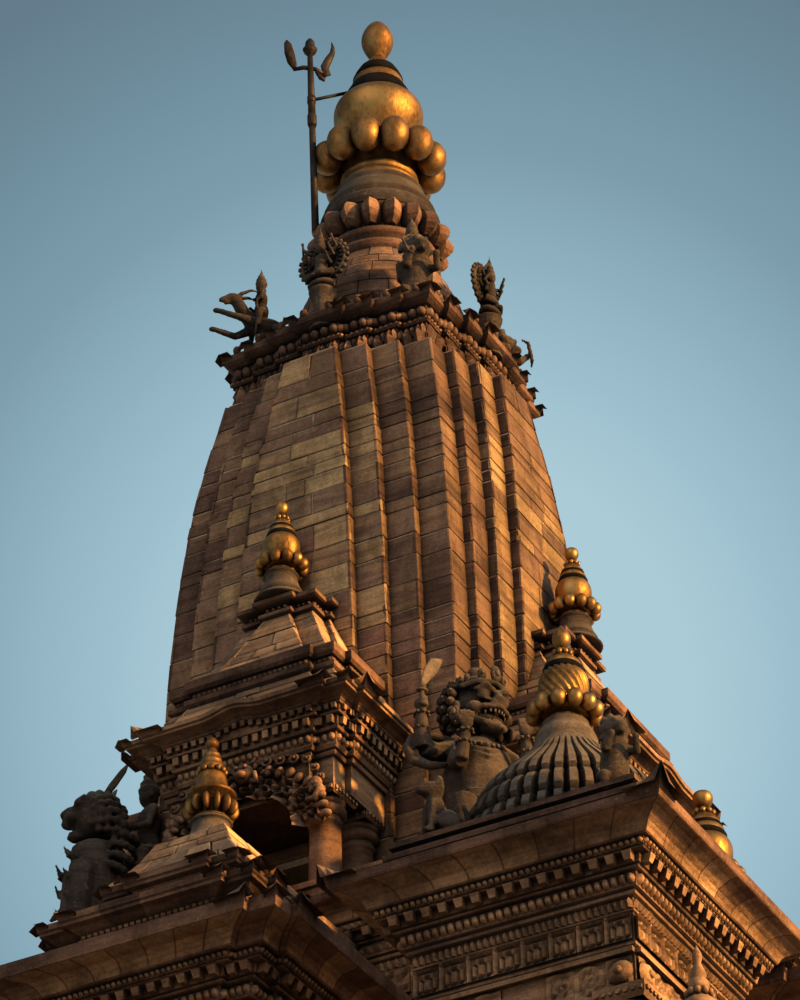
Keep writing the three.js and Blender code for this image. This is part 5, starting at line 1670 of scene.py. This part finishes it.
def door_frames():
    """Stone frames round the four doors of the ground hall."""
    shape = Shape()
    one = Shape()
    for side in (-1, 1):
        one.stamp(slab_part(0.16, 0.07, 2.32), (side * 0.58, -DOOR_FACE, PLINTH_TOP), 0, 1, 0.6)
        one.stamp(slab_part(0.07, 0.11, 2.32), (side * 0.53, -DOOR_FACE, PLINTH_TOP), 0, 1, 0.4)
    one.stamp(slab_part(1.56, 0.09, 0.2), (0, -DOOR_FACE, 3.8), 0, 1, 0.6)
    one.stamp(slab_part(1.72, 0.14, 0.07), (0, -DOOR_FACE, 4.0), 0, 1, 0.4)
    for k in range(7):
        one.stamp(niche_panel(0.17, 0.17, 7), ((k - 3) * 0.2, -3.19, 3.815), 0, 1, 0.55)
    for face in range(4):
        shape.stamp(one, (0, 0, 0), face * pi / 2)
    return shape


def plinth_stones():
    """Long stones and a nosing on every step of the base."""
    shape = Shape()
    for half, foot, top in ((6.185, 0.0, 0.36), (5.835, 0.4, 0.76), (5.485, 0.8, 1.11), (5.185, 1.15, 1.46)):
        courses(shape, lambda z, w=half: square(w), foot, top, 0.18, 0.75, 0.009, 0.006, 0.45, 0.3)
        sweep(shape, square, [(half, top), (half + 0.013, top + 0.006), (half + 0.014, top + 0.036),
                              (half + 0.004, top + 0.042), (half - 0.36, top + 0.0425)], 0.5, 0.2, 0.9)
    return shape


# The pieces, each over the solids that it stands for.

def stand(name, mesh, angle, place, turn=0.0, size=1.0, nodes=()):
    """Shows a statue of grey stone."""
    show(name, mesh, [GREY], nodes, angle, place, turn, size)


def dress_pavilions():
    """Pavilions of both terraces with the beasts on their roofs, and the finials of the upper ones."""
    pavilions = {}
    for kind, build in (("corner", corner_pavilion), ("middle", middle_pavilion)):
        for level in ("upper", "lower"):
            pavilions[kind, level] = build(level == "upper").mesh(f"{kind}_pavilion_{level}")
    beast = carved("roof_beast", seated_beast(), 0.012, 0.3, 0.17)
    lion = carved("roof_lion", rearing_lion(False), 0.012, 0.4, 0.16)
    for level, floor, corner, middle in LEVELS:
        for name, angle in CORNERS:
            show(f"corner_dome_{level}_{name}", pavilions["corner", level], [CARVED, GREY],
                 [f"corner_pavilion_{level}_{name}"], angle, (corner, -corner, floor))
            for k, (x, y) in enumerate(ROOF_BEASTS):
                stand(f"roof_beast_{level}_{name}_{k}", beast, angle, (corner + x, -corner + y, floor + 3.04),
                      degrees(atan2(y, x)) + 90)
            stand(f"roof_lion_{level}_{name}", lion, angle, (corner + 0.6, -corner - 0.63, floor + 2.98), 45,
                  0.72)
        for name, angle in FACES:
            show(f"middle_roof_{level}_{name}", pavilions["middle", level], [CARVED, GREY],
                 [f"middle_pavilion_{level}_{name}"], angle, (0, -middle, floor))
    fluted, plain = [pot_finial(kind, 0.93, 1.0, 1.13).mesh("corner_finial") for kind in (True, False)]
    for name, angle in CORNERS:
        show(f"corner_pot_{name}", fluted if name == "front_right" else plain, [GOLD, BLACK],
             [f"corner_finial_{name}"], angle, (CORNER_B, -CORNER_B, TERRACE_B + CORNER_HEAD))
    spire = spire_finial().mesh("spire_finial")
    pot = pot_finial(False, 1.1, 1.02, tall_cone=True).mesh("pot_finial")
    for name, angle in FACES:
        mesh, gilding = (spire, BRONZE) if name == "front" else (pot, GOLD)
        show(f"middle_pot_{name}", mesh, [gilding, BLACK], [f"middle_finial_{name}"], angle,
             (0, -MIDDLE_B, TERRACE_B + MIDDLE_HEAD))


def dress_porches():
    """Carving and gilded finial of each porch."""
    carving = porch().mesh("porch")
    pot = pot_finial(False, 0.8, 0.825, 1.06, tall_cone=True).mesh("porch_finial")
    for name, angle in FACES:
        show(f"porch_carved_{name}", carving, [CARVED, GREY, RED], [f"porch_{name}"], angle)
        show(f"porch_pot_{name}", pot, [GOLD, BLACK], [f"porch_finial_{name}"], angle,
             (0, -PORCH_FINIAL_OUT, PORCH_FINIAL_FOOT))


def dress_guardians():
    """A guard with a blade and a maned beast in turn at the corners of the top terrace, each on its base."""
    kinds = []
    for name, figure, trim, voxel, tint, share in (("guard", sword_guard, guard_trim, 0.0095, 0.35, 0.2),
                                                   ("lion", maned_beast, beast_ears, 0.0105, 0.3, 0.22)):
        crisp = Shape()
        trim(crisp)
        statue_base(crisp)
        kinds.append((carved(name, figure(), voxel, tint, share), crisp.mesh(name + "_trim")))
    for k, (name, angle) in enumerate(CORNERS):
        for label, mesh in zip(("statue", "trim"), kinds[k % 2]):
            stand(f"guardian_{label}_{name}", mesh, angle, (GUARDIAN_OUT, -GUARDIAN_OUT, TERRACE_C), 45, 1.0,
                  [f"guardian_{name}"])


def dress_cornice():
    """Riders on beasts at the corners of the tower's cornice, and seated figures in halos between them."""
    leap = carved("leaping_beast", leaping_beast(), 0.011, 0.2, 0.34)
    rear = carved("rearing_lion", rearing_lion(True), 0.011, 0.35, 0.25)
    seated = carved("halo_figure", halo_figure(), 0.011, 0.4, 0.24)
    ring = halo().mesh("halo")
    for name, angle in CORNERS:
        stand(f"cornice_beast_{name}", leap if name == "front_left" else rear, angle, CORNICE_BEAST_PLACE, 45,
              0.92)
    for name, angle in FACES:
        for label, mesh in (("figure", seated), ("halo", ring)):
            stand(f"cornice_{label}_{name}", mesh, angle, CORNICE_FIGURE_PLACE, 0.0, 0.66)


def dress():
    """All the pieces, each over the solids that it stands for."""
    dress_pavilions()
    dress_porches()
    dress_guardians()
    trim = arcade_trim().mesh("arcade_trim")
    for name, angle in FACES:
        show(f"arcade_trim_{name}", trim, [CARVED], (), angle)
    show("tower_masonry", tower_blocks(), [SANDSTONE])
    show("tower_cornice_carved", tower_cornice(), [CARVED], ["tower_cornice"])
    show("tower_neck_stones", tower_neck(), [CARVED], ["tower_neck"])
    show("tower_neck_bell", neck_bell(), [GREY])
    show("top_finial_gilded", top_finial(), [GOLD, BLACK, BRONZE], ["top_finial"])
    show("trident_iron", trident(), [IRON], ["trident"])
    dress_cornice()
    for name, shape in (("upper", terrace_slab(1.84, 2.115, 13.15, 13.74, TERRACE_C)),
                        ("lower", terrace_slab(3.15, 3.445, 9.3, 9.95, TERRACE_B)),
                        ("ground", ground_cornice())):
        show(f"terrace_{name}_carved", shape, [CARVED], [f"cornice_terrace_{name}"])
    show("hall_door_frames", door_frames(), [CARVED])
    show("plinth_steps", plinth_stones(), [GRIMY])


def paint_solids():
    """Gives every solid that stays in sight its own stone."""
    for name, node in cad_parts.items():
        material = MORTAR if name == "tower" else MASONRY
        if name == "plinth" or name.startswith("cornice_terrace"):
            material = PAVING
        node.data.materials.clear()
        node.data.materials.append(material)


# Light, floor and camera.

def sun(name, energy, colour, direction, spread):
    """Adds a far light that shines from one direction."""
    data = bpy.data.lights.new(name, "SUN")
    data.energy = energy
    data.color = colour
    data.angle = radians(spread)
    source = bpy.data.objects.new(name, data)
    bpy.context.scene.collection.objects.link(source)
    source.rotation_euler = Vector(direction).to_track_quat("Z", "Y").to_euler()


def floor():
    """Pale round studio floor under the temple."""
    disc = Shape()
    lathe(disc, [(0.0, -0.002), (FLOOR_RADIUS, -0.002), (FLOOR_RADIUS, -0.05)], 64, smooth=False)
    mesh = disc.mesh("floor")
    material, tree, shader = new_material("pale_floor")
    link(tree, shader["Base Color"], (0.5, 0.5, 0.49, 1))
    link(tree, shader["Roughness"], 0.9)
    mesh.materials.append(material)
    base = bpy.data.objects.new("floor", mesh)
    bpy.context.scene.collection.objects.link(base)


def sky():
    """Evening sky: darker with height, and paler near the direction of the glow behind the tower."""
    world = bpy.data.worlds.new("studio")
    bpy.context.scene.world = world
    world.use_nodes = True
    tree = world.node_tree
    direction = add_node(tree, "TexCoord").outputs["Generated"]
    parts = add_node(tree, "SeparateXYZ", {0: direction}).outputs
    height = maths(tree, "SUBTRACT", parts[2], blend(tree, *zip(parts, SKY_SLANT)))
    toward = add_node(tree, "VectorMath", {0: direction, 1: SKY_GLOW},
                      operation="DOT_PRODUCT").outputs["Value"]
    near = maths(tree, "MULTIPLY", maths(tree, "SUBTRACT", toward, HAZE_START), HAZE_GAIN)
    colour = mixed(tree, ramp(tree, near, [(0.0, 0.0), (0.15, 1.0)]), ramp(tree, height, SKY_STOPS),
                   ramp(tree, near, HAZE_STOPS))
    link(tree, tree.nodes["Background"].inputs["Color"], colour)


def studio():
    """Floor, sky and lights round the temple."""
    floor()
    sky()
    bpy.context.scene.view_settings.view_transform = "Standard"
    sun("key", *KEY_SUN)
    sun("fill", *FILL_SUN)


def camera():
    """Long lens at eye height, looking up at the tower from its front right."""
    turn, pitch, roll = CAMERA_TURNS
    look = Vector((-sin(turn) * cos(pitch), cos(turn) * cos(pitch), sin(pitch)))
    right = Vector((cos(turn), sin(turn), 0))
    up = right.cross(look)
    x_axis = right * cos(roll) + up * sin(roll)
    y_axis = up * cos(roll) - right * sin(roll)
    data = bpy.data.cameras.new("camera")
    data.sensor_fit = "HORIZONTAL"
    data.sensor_width = SENSOR_WIDTH
    data.lens = FOCAL_PIXELS / PICTURE_WIDTH * SENSOR_WIDTH
    data.clip_end = FAR_CLIP
    view = bpy.data.objects.new("camera", data)
    bpy.context.scene.collection.objects.link(view)
    matrix = Matrix((x_axis, y_axis, -look)).transposed().to_4x4()
    matrix.translation = CAMERA_PLACE
    view.matrix_world = matrix
    bpy.context.scene.camera = view


paint_solids()
dress()
studio()
camera()
